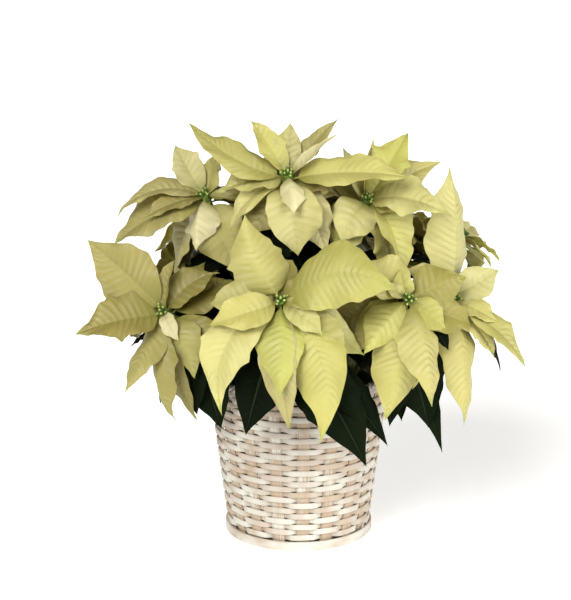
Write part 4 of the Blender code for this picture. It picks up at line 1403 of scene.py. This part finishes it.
def put_on_wall(tree, geometry, angle, height, radius):
    """Moves every point to its angle, height and distance from the basket's axis."""
    cosine = add_node(tree, MATH, (angle,), operation="COSINE")[0]
    sine = add_node(tree, MATH, (angle,), operation="SINE")[0]
    x = add_node(tree, MATH, (cosine, radius), operation="MULTIPLY")[0]
    y = add_node(tree, MATH, (sine, radius), operation="MULTIPLY")[0]
    place = add_node(tree, "ShaderNodeCombineXYZ", (x, y, height))[0]
    return add_node(tree, "GeometryNodeSetPosition", {"Geometry": geometry, "Position": place})[0]


def flared(tree, sockets, height):
    """The wall's radius at a height."""
    terms = (height, sockets["Flare"], sockets["Base radius"])
    return add_node(tree, MATH, terms, operation="MULTIPLY_ADD")[0]


def ring_strands(tree, amount, points):
    """Copies of a ring, with each point's angle, x and y, and each copy's number."""
    ring = add_node(tree, "GeometryNodeCurvePrimitiveCircle", {"Radius": 1.0, "Resolution": points})[0]
    copies = {"Geometry": ring, "Amount": amount}
    strands, number = add_node(tree, "GeometryNodeDuplicateElements", copies, domain="SPLINE")
    place = add_node(tree, "GeometryNodeInputPosition")[0]
    x, y, _ = add_node(tree, "ShaderNodeSeparateXYZ", (place,))
    angle = add_node(tree, MATH, (y, x), operation="ARCTAN2")[0]
    return strands, number, angle, x, y


def swept_strands(tree, strands, number, angle, profile, along_turn, apart):
    """Strands with a profile swept along them, and grain that runs their length."""
    upright = add_node(tree, "GeometryNodeSetCurveNormal", (strands,), mode="Z_UP")[0]
    length = add_node(tree, MATH, (angle, along_turn), operation="MULTIPLY")[0]
    beside = add_node(tree, MATH, (number, apart), operation="MULTIPLY")[0]
    grain = add_node(tree, "ShaderNodeCombineXYZ", (length, beside, number))[0]
    marked = with_grain(tree, upright, grain)
    return add_node(tree, "GeometryNodeCurveToMesh", {"Curve": marked, "Profile Curve": profile})[0]


def with_grain(tree, geometry, grain):
    """Geometry that carries the grain's directions for the willow finish."""
    stored = {"Geometry": geometry, "Name": "grain", "Value": grain}
    kind = {"data_type": "FLOAT_VECTOR", "domain": "POINT"}
    return add_node(tree, "GeometryNodeStoreNamedAttribute", stored, **kind)[0]


def finished(tree, geometry, material):
    """Ends a tree: real faces, smooth, with their material."""
    real = add_node(tree, "GeometryNodeRealizeInstances", (geometry,))[0]
    smooth = add_node(tree, "GeometryNodeSetShadeSmooth", {"Geometry": real})[0]
    coated = add_node(tree, "GeometryNodeSetMaterial", {"Geometry": smooth, "Material": material})[0]
    add_node(tree, "NodeGroupOutput", (coated,))


def weavers(finish):
    """The flat strips that pass over one stake and under the next, row upon row, their edges rounded."""
    inputs = {
        "Rows": ROWS,
        "Row pitch": ROW_PITCH,
        "Foot": PLAIN_FOOT_HEIGHT,
        "Base radius": BASE_RADIUS,
        "Flare": WALL_FLARE,
        "Stakes": STAKES,
        "Turn": STAKE_TURN,
        "Swing": WEAVER_SWING,
        "Width": WEAVER_WIDTH,
        "Thickness": WEAVER_THICKNESS,
        "Material": finish,
    }
    tree, s = tree_with_inputs("weavers", inputs)
    strands, row, angle, x, y = ring_strands(tree, s["Rows"], WEAVER_POINTS_PER_STAKE * STAKES)
    turned = add_node(tree, MATH, (angle, s["Turn"]), operation="SUBTRACT")[0]
    turns = add_node(tree, MATH, (turned, s["Stakes"]), operation="MULTIPLY")[0]
    half_turns = add_node(tree, MATH, (turns, 0.5), operation="MULTIPLY")[0]
    phase = add_node(tree, MATH, (row, math.pi, half_turns), operation="MULTIPLY_ADD")[0]
    swing = add_node(tree, MATH, (phase,), operation="COSINE")[0]
    # A strip stays out over more than half its length and turns in beside the stakes
    swing = add_node(tree, RAMP, (swing, -0.62, 0.28, -1.0, 1.0), interpolation_type=SMOOTH)[0]
    apart = add_node(tree, MATH, (row, 3.7), operation="MULTIPLY")[0]
    sway_at = add_node(tree, "ShaderNodeCombineXYZ", (x, y, apart))[0]
    sway = add_node(tree, NOISE, {"Vector": sway_at, "Scale": 2.2, "Detail": 1.0})[0]
    sway = add_node(tree, MATH, (sway, 0.5), operation="SUBTRACT")[0]
    level = add_node(tree, MATH, (row, 0.5), operation="ADD")[0]
    level = add_node(tree, MATH, (level, s["Row pitch"], s["Foot"]), operation="MULTIPLY_ADD")[0]
    height = add_node(tree, MATH, (sway, WEAVER_SWAY, level), operation="MULTIPLY_ADD")[0]
    middle = add_node(tree, MATH, (flared(tree, s, height), WEAVE_DEPTH), operation="SUBTRACT")[0]
    radius = add_node(tree, MATH, (swing, s["Swing"], middle), operation="MULTIPLY_ADD")[0]
    woven = put_on_wall(tree, strands, angle, height, radius)
    sides = {"Width": s["Thickness"], "Height": s["Width"]}
    strip = add_node(tree, "GeometryNodeCurvePrimitiveQuadrilateral", sides)[0]
    corner = add_node(tree, MATH, (s["Thickness"], 0.46), operation="MULTIPLY")[0]
    fillet = {"Curve": strip, "Radius": corner, "Count": 2}
    strip = add_node(tree, "GeometryNodeFilletCurve", fillet, mode="POLY")[0]
    finished(tree, swept_strands(tree, woven, row, angle, strip, 0.08, 0.37), s["Material"])
    return grown("basket_weavers", tree, inputs)


def stakes(finish):
    """The flat upright stakes, bowed a little in and out by the weavers."""
    inputs = {
        "Stakes": STAKES,
        "Turn": STAKE_TURN,
        "Foot": PLAIN_FOOT_HEIGHT,
        "Row pitch": ROW_PITCH,
        "Base radius": BASE_RADIUS,
        "Flare": WALL_FLARE,
        "Width": STAKE_WIDTH,
        "Thickness": STAKE_THICKNESS,
        "Height": ROWS * ROW_PITCH + PLAIN_FOOT_HEIGHT - WALL_FOOT,
        "Bow": STAKE_BOW,
        "Material": finish,
    }
    tree, s = tree_with_inputs("stakes", inputs)
    points = add_node(tree, "GeometryNodePoints", {"Count": s["Stakes"]})[0]
    index = add_node(tree, "GeometryNodeInputIndex")[0]
    count = {"Geometry": points, "Name": "stake", "Value": index}
    kind = {"data_type": "FLOAT", "domain": "POINT"}
    numbered = add_node(tree, "GeometryNodeStoreNamedAttribute", count, **kind)[0]
    size = add_node(tree, "ShaderNodeCombineXYZ", (s["Width"], s["Thickness"], s["Height"]))[0]
    counts = {"Size": size, "Vertices X": 5, "Vertices Y": 2, "Vertices Z": 3 * ROWS}
    strip = add_node(tree, "GeometryNodeMeshCube", counts)[0]
    strips = {"Points": numbered, "Instance": strip}
    strips = add_node(tree, "GeometryNodeInstanceOnPoints", strips)[0]
    strips = add_node(tree, "GeometryNodeRealizeInstances", (strips,))[0]
    place = add_node(tree, "GeometryNodeInputPosition")[0]
    across, depth, upward = add_node(tree, "ShaderNodeSeparateXYZ", (place,))
    number = add_node(tree, "GeometryNodeInputNamedAttribute", {"Name": "stake"}, data_type="FLOAT")[0]

    height = add_node(tree, MATH, (s["Height"], 0.5, upward), operation="MULTIPLY_ADD")[0]
    height = add_node(tree, MATH, (height, WALL_FOOT), operation="ADD")[0]
    row = add_node(tree, MATH, (height, s["Foot"]), operation="SUBTRACT")[0]
    row = add_node(tree, MATH, (row, s["Row pitch"]), operation="DIVIDE")[0]
    half_turns = add_node(tree, MATH, (row, 0.5), operation="SUBTRACT")[0]
    half_turns = add_node(tree, MATH, (half_turns, number), operation="ADD")[0]
    phase = add_node(tree, MATH, (half_turns, math.pi), operation="MULTIPLY")[0]
    bow = add_node(tree, MATH, (phase,), operation="COSINE")[0]
    bow = add_node(tree, MATH, (bow, s["Bow"]), operation="MULTIPLY")[0]
    # Across its width a stake is crowned, so its edges lie behind its middle
    share = add_node(tree, MATH, (across, s["Width"]), operation="DIVIDE")[0]
    share = add_node(tree, MATH, (share, 2.0), operation="POWER")[0]
    crown = add_node(tree, MATH, (share, -STAKE_CROWN), operation="MULTIPLY")[0]
    wall = flared(tree, s, height)
    radius = add_node(tree, MATH, (wall, WEAVE_DEPTH), operation="SUBTRACT")[0]
    radius = add_node(tree, MATH, (radius, bow), operation="SUBTRACT")[0]
    for part in (depth, crown):
        radius = add_node(tree, MATH, (radius, part), operation="ADD")[0]
    pitch = add_node(tree, MATH, (math.tau, s["Stakes"]), operation="DIVIDE")[0]
    angle = add_node(tree, MATH, (number, pitch, s["Turn"]), operation="MULTIPLY_ADD")[0]
    turn = add_node(tree, MATH, (across, wall), operation="DIVIDE")[0]
    angle = add_node(tree, MATH, (angle, turn), operation="ADD")[0]
    beside = add_node(tree, MATH, (number, 0.37, across), operation="MULTIPLY_ADD")[0]
    grain = add_node(tree, "ShaderNodeCombineXYZ", (height, beside, number))[0]
    marked = with_grain(tree, strips, grain)
    finished(tree, put_on_wall(tree, marked, angle, height, radius), s["Material"])
    return grown("basket_stakes", tree, inputs)


def rope_rim(finish, wall_top):
    """Three rods twisted round the wall's top edge."""
    inputs = {
        "Strands": 3,
        "Twists": 26,
        "Middle radius": wall_radius(wall_top) - WALL_THICKNESS / 2,
        "Height": wall_top + 2.6 * MM,
        "Strand offset": 2.1 * MM,
        "Strand radius": 2.0 * MM,
        "Material": finish,
    }
    tree, s = tree_with_inputs("rope_rim", inputs)
    strands, number, angle, _, _ = ring_strands(tree, s["Strands"], ROPE_POINTS)
    share = add_node(tree, MATH, (number, math.tau), operation="MULTIPLY")[0]
    share = add_node(tree, MATH, (share, s["Strands"]), operation="DIVIDE")[0]
    wound = add_node(tree, MATH, (angle, s["Twists"], share), operation="MULTIPLY_ADD")[0]
    out = add_node(tree, MATH, (wound,), operation="COSINE")[0]
    radius = add_node(tree, MATH, (out, s["Strand offset"], s["Middle radius"]), operation="MULTIPLY_ADD")[0]
    up = add_node(tree, MATH, (wound,), operation="SINE")[0]
    height = add_node(tree, MATH, (up, s["Strand offset"], s["Height"]), operation="MULTIPLY_ADD")[0]
    twisted = put_on_wall(tree, strands, angle, height, radius)
    round_rod = {"Radius": s["Strand radius"], "Resolution": 8}
    rod = add_node(tree, "GeometryNodeCurvePrimitiveCircle", round_rod)[0]
    finished(tree, swept_strands(tree, twisted, number, angle, rod, 0.09, 0.31), s["Material"])
    return grown("basket_rope_rim", tree, inputs)


# Stems and cyathia

# A fine stem: its taper, the knots that its leaves leave from, and the swells of its core
STEM_POINTS = 40
STEM_TAPER = 0.18
KNOT_SHARES = (0.9, 0.82, 0.74)
KNOT_LENGTH = 0.018
KNOT_SWELL = 0.22
CORE_SWELLS = ((0.35, 0.95), (1.0, 1.35))

# A cup's radius and height from foot to mouth and back inside, as shares of its own
CUP_PROFILE = (
    (0.0, 0.0),
    (0.8, 0.05),
    (1.0, 0.3),
    (0.95, 0.55),
    (0.72, 0.78),
    (0.5, 0.88),
    (0.62, 1.0),
    (0.3, 0.97),
    (0.0, 0.9),
)
CUP_SIDES = 8
CUP_RADIUS = 1.9 * MM
CUP_LENGTH = 5.4 * MM
CUP_LEAN = 120

# Rings of cups round the middle one: radius, count and first turn in radians
CUP_RINGS = ((2.9 * MM, 4, 1.16), (5.0 * MM, 3, 2.0))


def fine_stem(name, path, centre, finish):
    """A stem that tapers towards its bloom, and swells into the short core that the bracts grow from."""
    top = Vector(path[-1])
    spots = []
    for index in range(STEM_POINTS + 1):
        share = index / STEM_POINTS
        knot = sum(math.exp(-(((share - s) / KNOT_LENGTH) ** 2)) for s in KNOT_SHARES)
        spots.append((bezier(path, share)[0], 1 - STEM_TAPER * share + KNOT_SWELL * knot))
    spots += [(top + lift * (centre - top), swell) for lift, swell in CORE_SWELLS]
    curve = bpy.data.curves.new(name, "CURVE")
    curve.dimensions = "3D"
    curve.bevel_depth = STEM_RADIUS
    curve.bevel_resolution = 3
    curve.use_fill_caps = True
    spline = curve.splines.new("POLY")
    spline.points.add(len(spots) - 1)
    for point, (place, swell) in zip(spline.points, spots):
        point.co = (*place, 1)
        point.radius = swell
    obj = bpy.data.objects.new(name, curve)
    bpy.context.scene.collection.objects.link(obj)
    bpy.context.view_layer.update()
    mesh = bpy.data.meshes.new_from_object(obj.evaluated_get(bpy.context.evaluated_depsgraph_get()))
    bpy.data.objects.remove(obj)
    mesh.materials.clear()
    mesh.materials.append(finish)
    return mesh


def add_cup(bm, mouth, foot, lean, scale):
    """One small cup with a yellow mouth, turned along the way that it leans."""
    turn = Vector((0, 0, 1)).rotation_difference(lean)
    rings = []
    for r, h in CUP_PROFILE:
        made = []
        for k in range(CUP_SIDES if r else 1):
            a = math.tau * k / CUP_SIDES
            local = Vector((r * math.cos(a), r * math.sin(a), 0)) * CUP_RADIUS * scale
            local.z = h * CUP_LENGTH * scale
            vert = bm.verts.new(foot + turn @ local)
            vert[mouth] = h
            made.append(vert)
        rings.append(made)
    for lower, upper in zip(rings, rings[1:]):
        for k in range(CUP_SIDES):
            n = (k + 1) % CUP_SIDES
            if len(lower) == 1:
                bm.faces.new((lower[0], upper[n], upper[k]))
            elif len(upper) == 1:
                bm.faces.new((lower[k], lower[n], upper[0]))
            else:
                bm.faces.new((lower[k], lower[n], upper[n], upper[k]))


def cup_cluster(name, centre, facing, rng, finish):
    """A bloom's cups: one in the middle and two rings round it."""
    bm = bmesh.new()
    mouth = bm.verts.layers.float.new("mouth")
    side = facing.orthogonal().normalized()
    other = facing.cross(side)
    base = centre + (CLEARANCE + 0.6 * MM) * facing
    spots = [(0.0, 0.0, 1.0)]
    for ring, count, start in CUP_RINGS:
        for k in range(count):
            turn = math.tau * (k + rng.random() * 0.4) / count + start
            spots.append((ring * math.cos(turn), ring * math.sin(turn), rng.uniform(0.7, 1.0)))
    for u, v, scale in spots:
        outwards = u * side + v * other
        lean = (facing + CUP_LEAN * outwards).normalized()
        add_cup(bm, mouth, base + outwards, lean, scale)
    bmesh.ops.recalc_face_normals(bm, faces=bm.faces)
    return mesh_of(bm, name, finish)


def mesh_of(bm, name, finish):
    """The smooth mesh of a bmesh, with its material."""
    mesh = bpy.data.meshes.new(name)
    bm.to_mesh(mesh)
    bm.free()
    mesh.shade_smooth()
    mesh.materials.append(finish)
    return mesh


# Shapes turned about the basket's axis

HOOP_GRAIN_RADIUS = 72 * MM
SOIL_RINGS = 24
SOIL_LUMPS = 1.0 * MM


def lathe(name, profile, sides, finish):
    """A profile, given from the axis or as a loop, turned about the upright axis."""
    count = len(profile)
    closed = profile[0][0] > 0
    bm = bmesh.new()
    verts = []
    for k in range(sides):
        turn = math.tau * k / sides
        verts += [bm.verts.new((r * math.cos(turn), r * math.sin(turn), z)) for r, z in profile]
    for k in range(sides):
        a, b = k * count, (k + 1) % sides * count
        for i in range(count if closed else count - 1):
            j = (i + 1) % count
            bm.faces.new([verts[n] for n in (a + i, b + i, b + j, a + j)])
    bmesh.ops.remove_doubles(bm, verts=bm.verts, dist=0.005 * MM)
    bmesh.ops.recalc_face_normals(bm, faces=bm.faces)
    return add_piece(name, mesh_of(bm, name, finish))


def rounded(corners, radius, steps=3):
    """A profile with its corners rounded."""
    made = []
    count = len(corners)
    for index, (r, z) in enumerate(corners):
        here = Vector((r, z))
        before, after = Vector(corners[index - 1]), Vector(corners[(index + 1) % count])
        if r <= 0:
            made.append((r, z))
            continue
        back = min(radius, 0.45 * (before - here).length)
        ahead = min(radius, 0.45 * (after - here).length)
        start = here + back * (before - here).normalized()
        end = here + ahead * (after - here).normalized()
        for step in range(steps + 1):
            t = step / steps
            point = (1 - t) ** 2 * start + 2 * t * (1 - t) * here + t * t * end
            made.append((point.x, point.y))
    return made


def mark_grain(piece, direction):
    """Gives a piece the willow's grain: where each point lies along, across and through it."""
    attribute = piece.data.attributes.new("grain", "FLOAT_VECTOR", "POINT")
    for vert, item in zip(piece.data.vertices, attribute.data):
        item.vector = direction(vert.co)


# The object's pieces


def add_piece(name, mesh):
    obj = bpy.data.objects.new(name, mesh)
    bpy.context.scene.collection.objects.link(obj)
    return obj


def dress(piece, slot, *nodes):
    """Ties a finished piece to the part, and hides the solids that it stands for."""
    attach(piece, "root")
    if nodes:
        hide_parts(*nodes)


def plant():
    bract = bract_finish()
    leaf = leaf_finish()
    green_stem = stem_finish()
    bud = bud_finish()
    rng = random.Random(SEED)
    for name, growth in grown_plant().items():
        tint = bract_tint(name, len(growth.bracts))
        mesh = foliage("rosette_" + name, growth.bracts + growth.fillers, BRACT, tint, rng)
        mesh.materials.append(bract)
        dress(add_piece(mesh.name, mesh), "cream_bract", "bracts_" + name)
        if growth.leaves:
            mesh = foliage("leaves_" + name, growth.leaves, LEAF, leaf_tint, rng)
            mesh.materials.append(leaf)
            dress(add_piece(mesh.name, mesh), "green_leaf", "leafy_stem_" + name)
        mesh = fine_stem("stem_" + name, growth.path, growth.centre, green_stem)
        dress(add_piece(mesh.name, mesh), "green_leaf", "leafy_stem_" + name)
        mesh = cup_cluster("cups_" + name, growth.centre, growth.facing, rng, bud)
        dress(add_piece(mesh.name, mesh), "cyathia", "cyathia_" + name)


def basket():
    washed = willow_finish("whitewashed_split_willow", 0.8, "#A38D76")
    worn = willow_finish("worn_willow_stake", 0.35, "#9E8872")
    dress(weavers(washed), "whitewashed_willow", "basket_weave")
    dress(stakes(worn), "whitewashed_willow", "basket_weave")
    wall_top = PLAIN_FOOT_HEIGHT + ROWS * ROW_PITCH
    dress(rope_rim(washed, wall_top), "whitewashed_willow", "basket_rim")

    inner = wall_radius(HOOP_HEIGHT) + CLEARANCE + ASSEMBLY_GAP
    outer = inner + HOOP_THICKNESS
    corners = [(inner, 0), (outer, 0), (outer, HOOP_HEIGHT), (inner, HOOP_HEIGHT)]
    hoop = lathe("basket_foot_band", rounded(corners, 0.9 * MM), 128, washed)
    mark_grain(hoop, lambda p: (HOOP_GRAIN_RADIUS * math.atan2(p.y, p.x), p.z, math.hypot(p.x, p.y)))
    dress(hoop, "whitewashed_willow", "basket_foot_hoop")

    radius = wall_radius(0) - WALL_THICKNESS - CLEARANCE - ASSEMBLY_GAP
    corners = [(0, 0), (radius, 0), (radius, BOARD_THICKNESS), (0, BOARD_THICKNESS)]
    board = lathe("basket_floor", rounded(corners, 1.0 * MM), 96, worn)
    mark_grain(board, tuple)
    dress(board, "whitewashed_willow", "basket_base_board")


def pot_and_soil():
    floor = BOARD_THICKNESS + CLEARANCE
    mouth = floor + POT_HEIGHT
    corners = [
        (POT_MOUTH_RADIUS - POT_WALL, mouth),
        (POT_MOUTH_RADIUS + POT_LIP, mouth),
        (POT_MOUTH_RADIUS + POT_LIP, mouth - 2 * POT_LIP),
        (POT_MOUTH_RADIUS, mouth - 2 * POT_LIP),
        (POT_FLOOR_RADIUS, floor),
        (0, floor),
        (0, floor + POT_WALL),
        (POT_FLOOR_RADIUS - POT_WALL, floor + POT_WALL),
    ]
    pot = lathe("plant_pot", rounded(corners, 0.6 * MM), 96, plastic_finish())
    dress(pot, "pot_plastic", "grower_pot")

    low = POT_WALL + CLEARANCE
    top = floor + low + SOIL_DEPTH
    edge = soil_radius(SOIL_DEPTH)
    shares = [step / SOIL_RINGS for step in range(SOIL_RINGS)]
    corners = [(share * edge, top + SOIL_CROWN * (1 - share**2)) for share in shares]
    corners += [(edge, top), (soil_radius(low), floor + low), (0, floor + low)]
    soil = lathe("root_ball", corners, 96, peat_finish())
    rng = random.Random(SEED)
    for vert in soil.data.vertices:
        if vert.co.z > top - 1 * MM:
            vert.co.z += rng.uniform(-SOIL_LUMPS, SOIL_LUMPS)
    dress(soil, "potting_soil", "potting_soil")


# The studio: lights are given by the way they shine, their power and their spread in degrees
FLOOR_HALF = 12.0
FLOOR_GLOW = 0.5
WORLD_COLOUR = (1.0, 0.94, 0.80, 1)
WORLD_STRENGTH = 0.14
LIGHTS = (
    ("key", (0.38, 0.70, -0.62), 2.8, 36),
    ("fill", (-0.80, 0.50, -0.32), 2.25, 40),
)
CAMERA_AIM = Vector((-13.2, 0, 241)) * MM
CAMERA_DISTANCE = 5.0


def studio():
    """A pale floor, a large soft light above and to the left, a weaker one to the right, and the camera."""
    corners = [(-FLOOR_HALF, -FLOOR_HALF, 0), (FLOOR_HALF, -FLOOR_HALF, 0)]
    corners += [(FLOOR_HALF, FLOOR_HALF, 0), (-FLOOR_HALF, FLOOR_HALF, 0)]
    floor_mesh = bpy.data.meshes.new("studio_floor")
    floor_mesh.from_pydata(corners, [], [(0, 1, 2, 3)])
    floor = add_piece("studio_floor", floor_mesh)
    material, _, shader = new_finish("white_paper", 0.9, 1.45)
    shader.inputs["Base Color"].default_value = linear("#F7F7F6")
    shader.inputs["Emission Color"].default_value = linear("#FFFFFF")
    shader.inputs["Emission Strength"].default_value = FLOOR_GLOW
    floor_mesh.materials.append(material)

    world = bpy.data.worlds.new("studio")
    bpy.context.scene.world = world
    world.use_nodes = True
    background = world.node_tree.nodes["Background"]
    background.inputs["Color"].default_value = WORLD_COLOUR
    background.inputs["Strength"].default_value = WORLD_STRENGTH

    for name, way, power, spread in LIGHTS:
        light = bpy.data.lights.new(name, "SUN")
        light.energy = power
        light.angle = math.radians(spread)
        lamp = bpy.data.objects.new(name, light)
        lamp.rotation_euler = Vector(way).to_track_quat("-Z", "Y").to_euler()
        bpy.context.scene.collection.objects.link(lamp)

    lens = bpy.data.cameras.new("camera")
    lens.lens = 300
    lens.sensor_width = 36
    lens.clip_end = 100
    camera = bpy.data.objects.new("camera", lens)
    camera.location = CAMERA_AIM + CAMERA_DISTANCE * TOWARD
    camera.rotation_euler = (-TOWARD).to_track_quat("-Z", "Y").to_euler()
    bpy.context.scene.collection.objects.link(camera)
    bpy.context.scene.camera = camera
    bpy.context.scene.view_settings.view_transform = "Standard"


plant()
basket()
pot_and_soil()
studio()
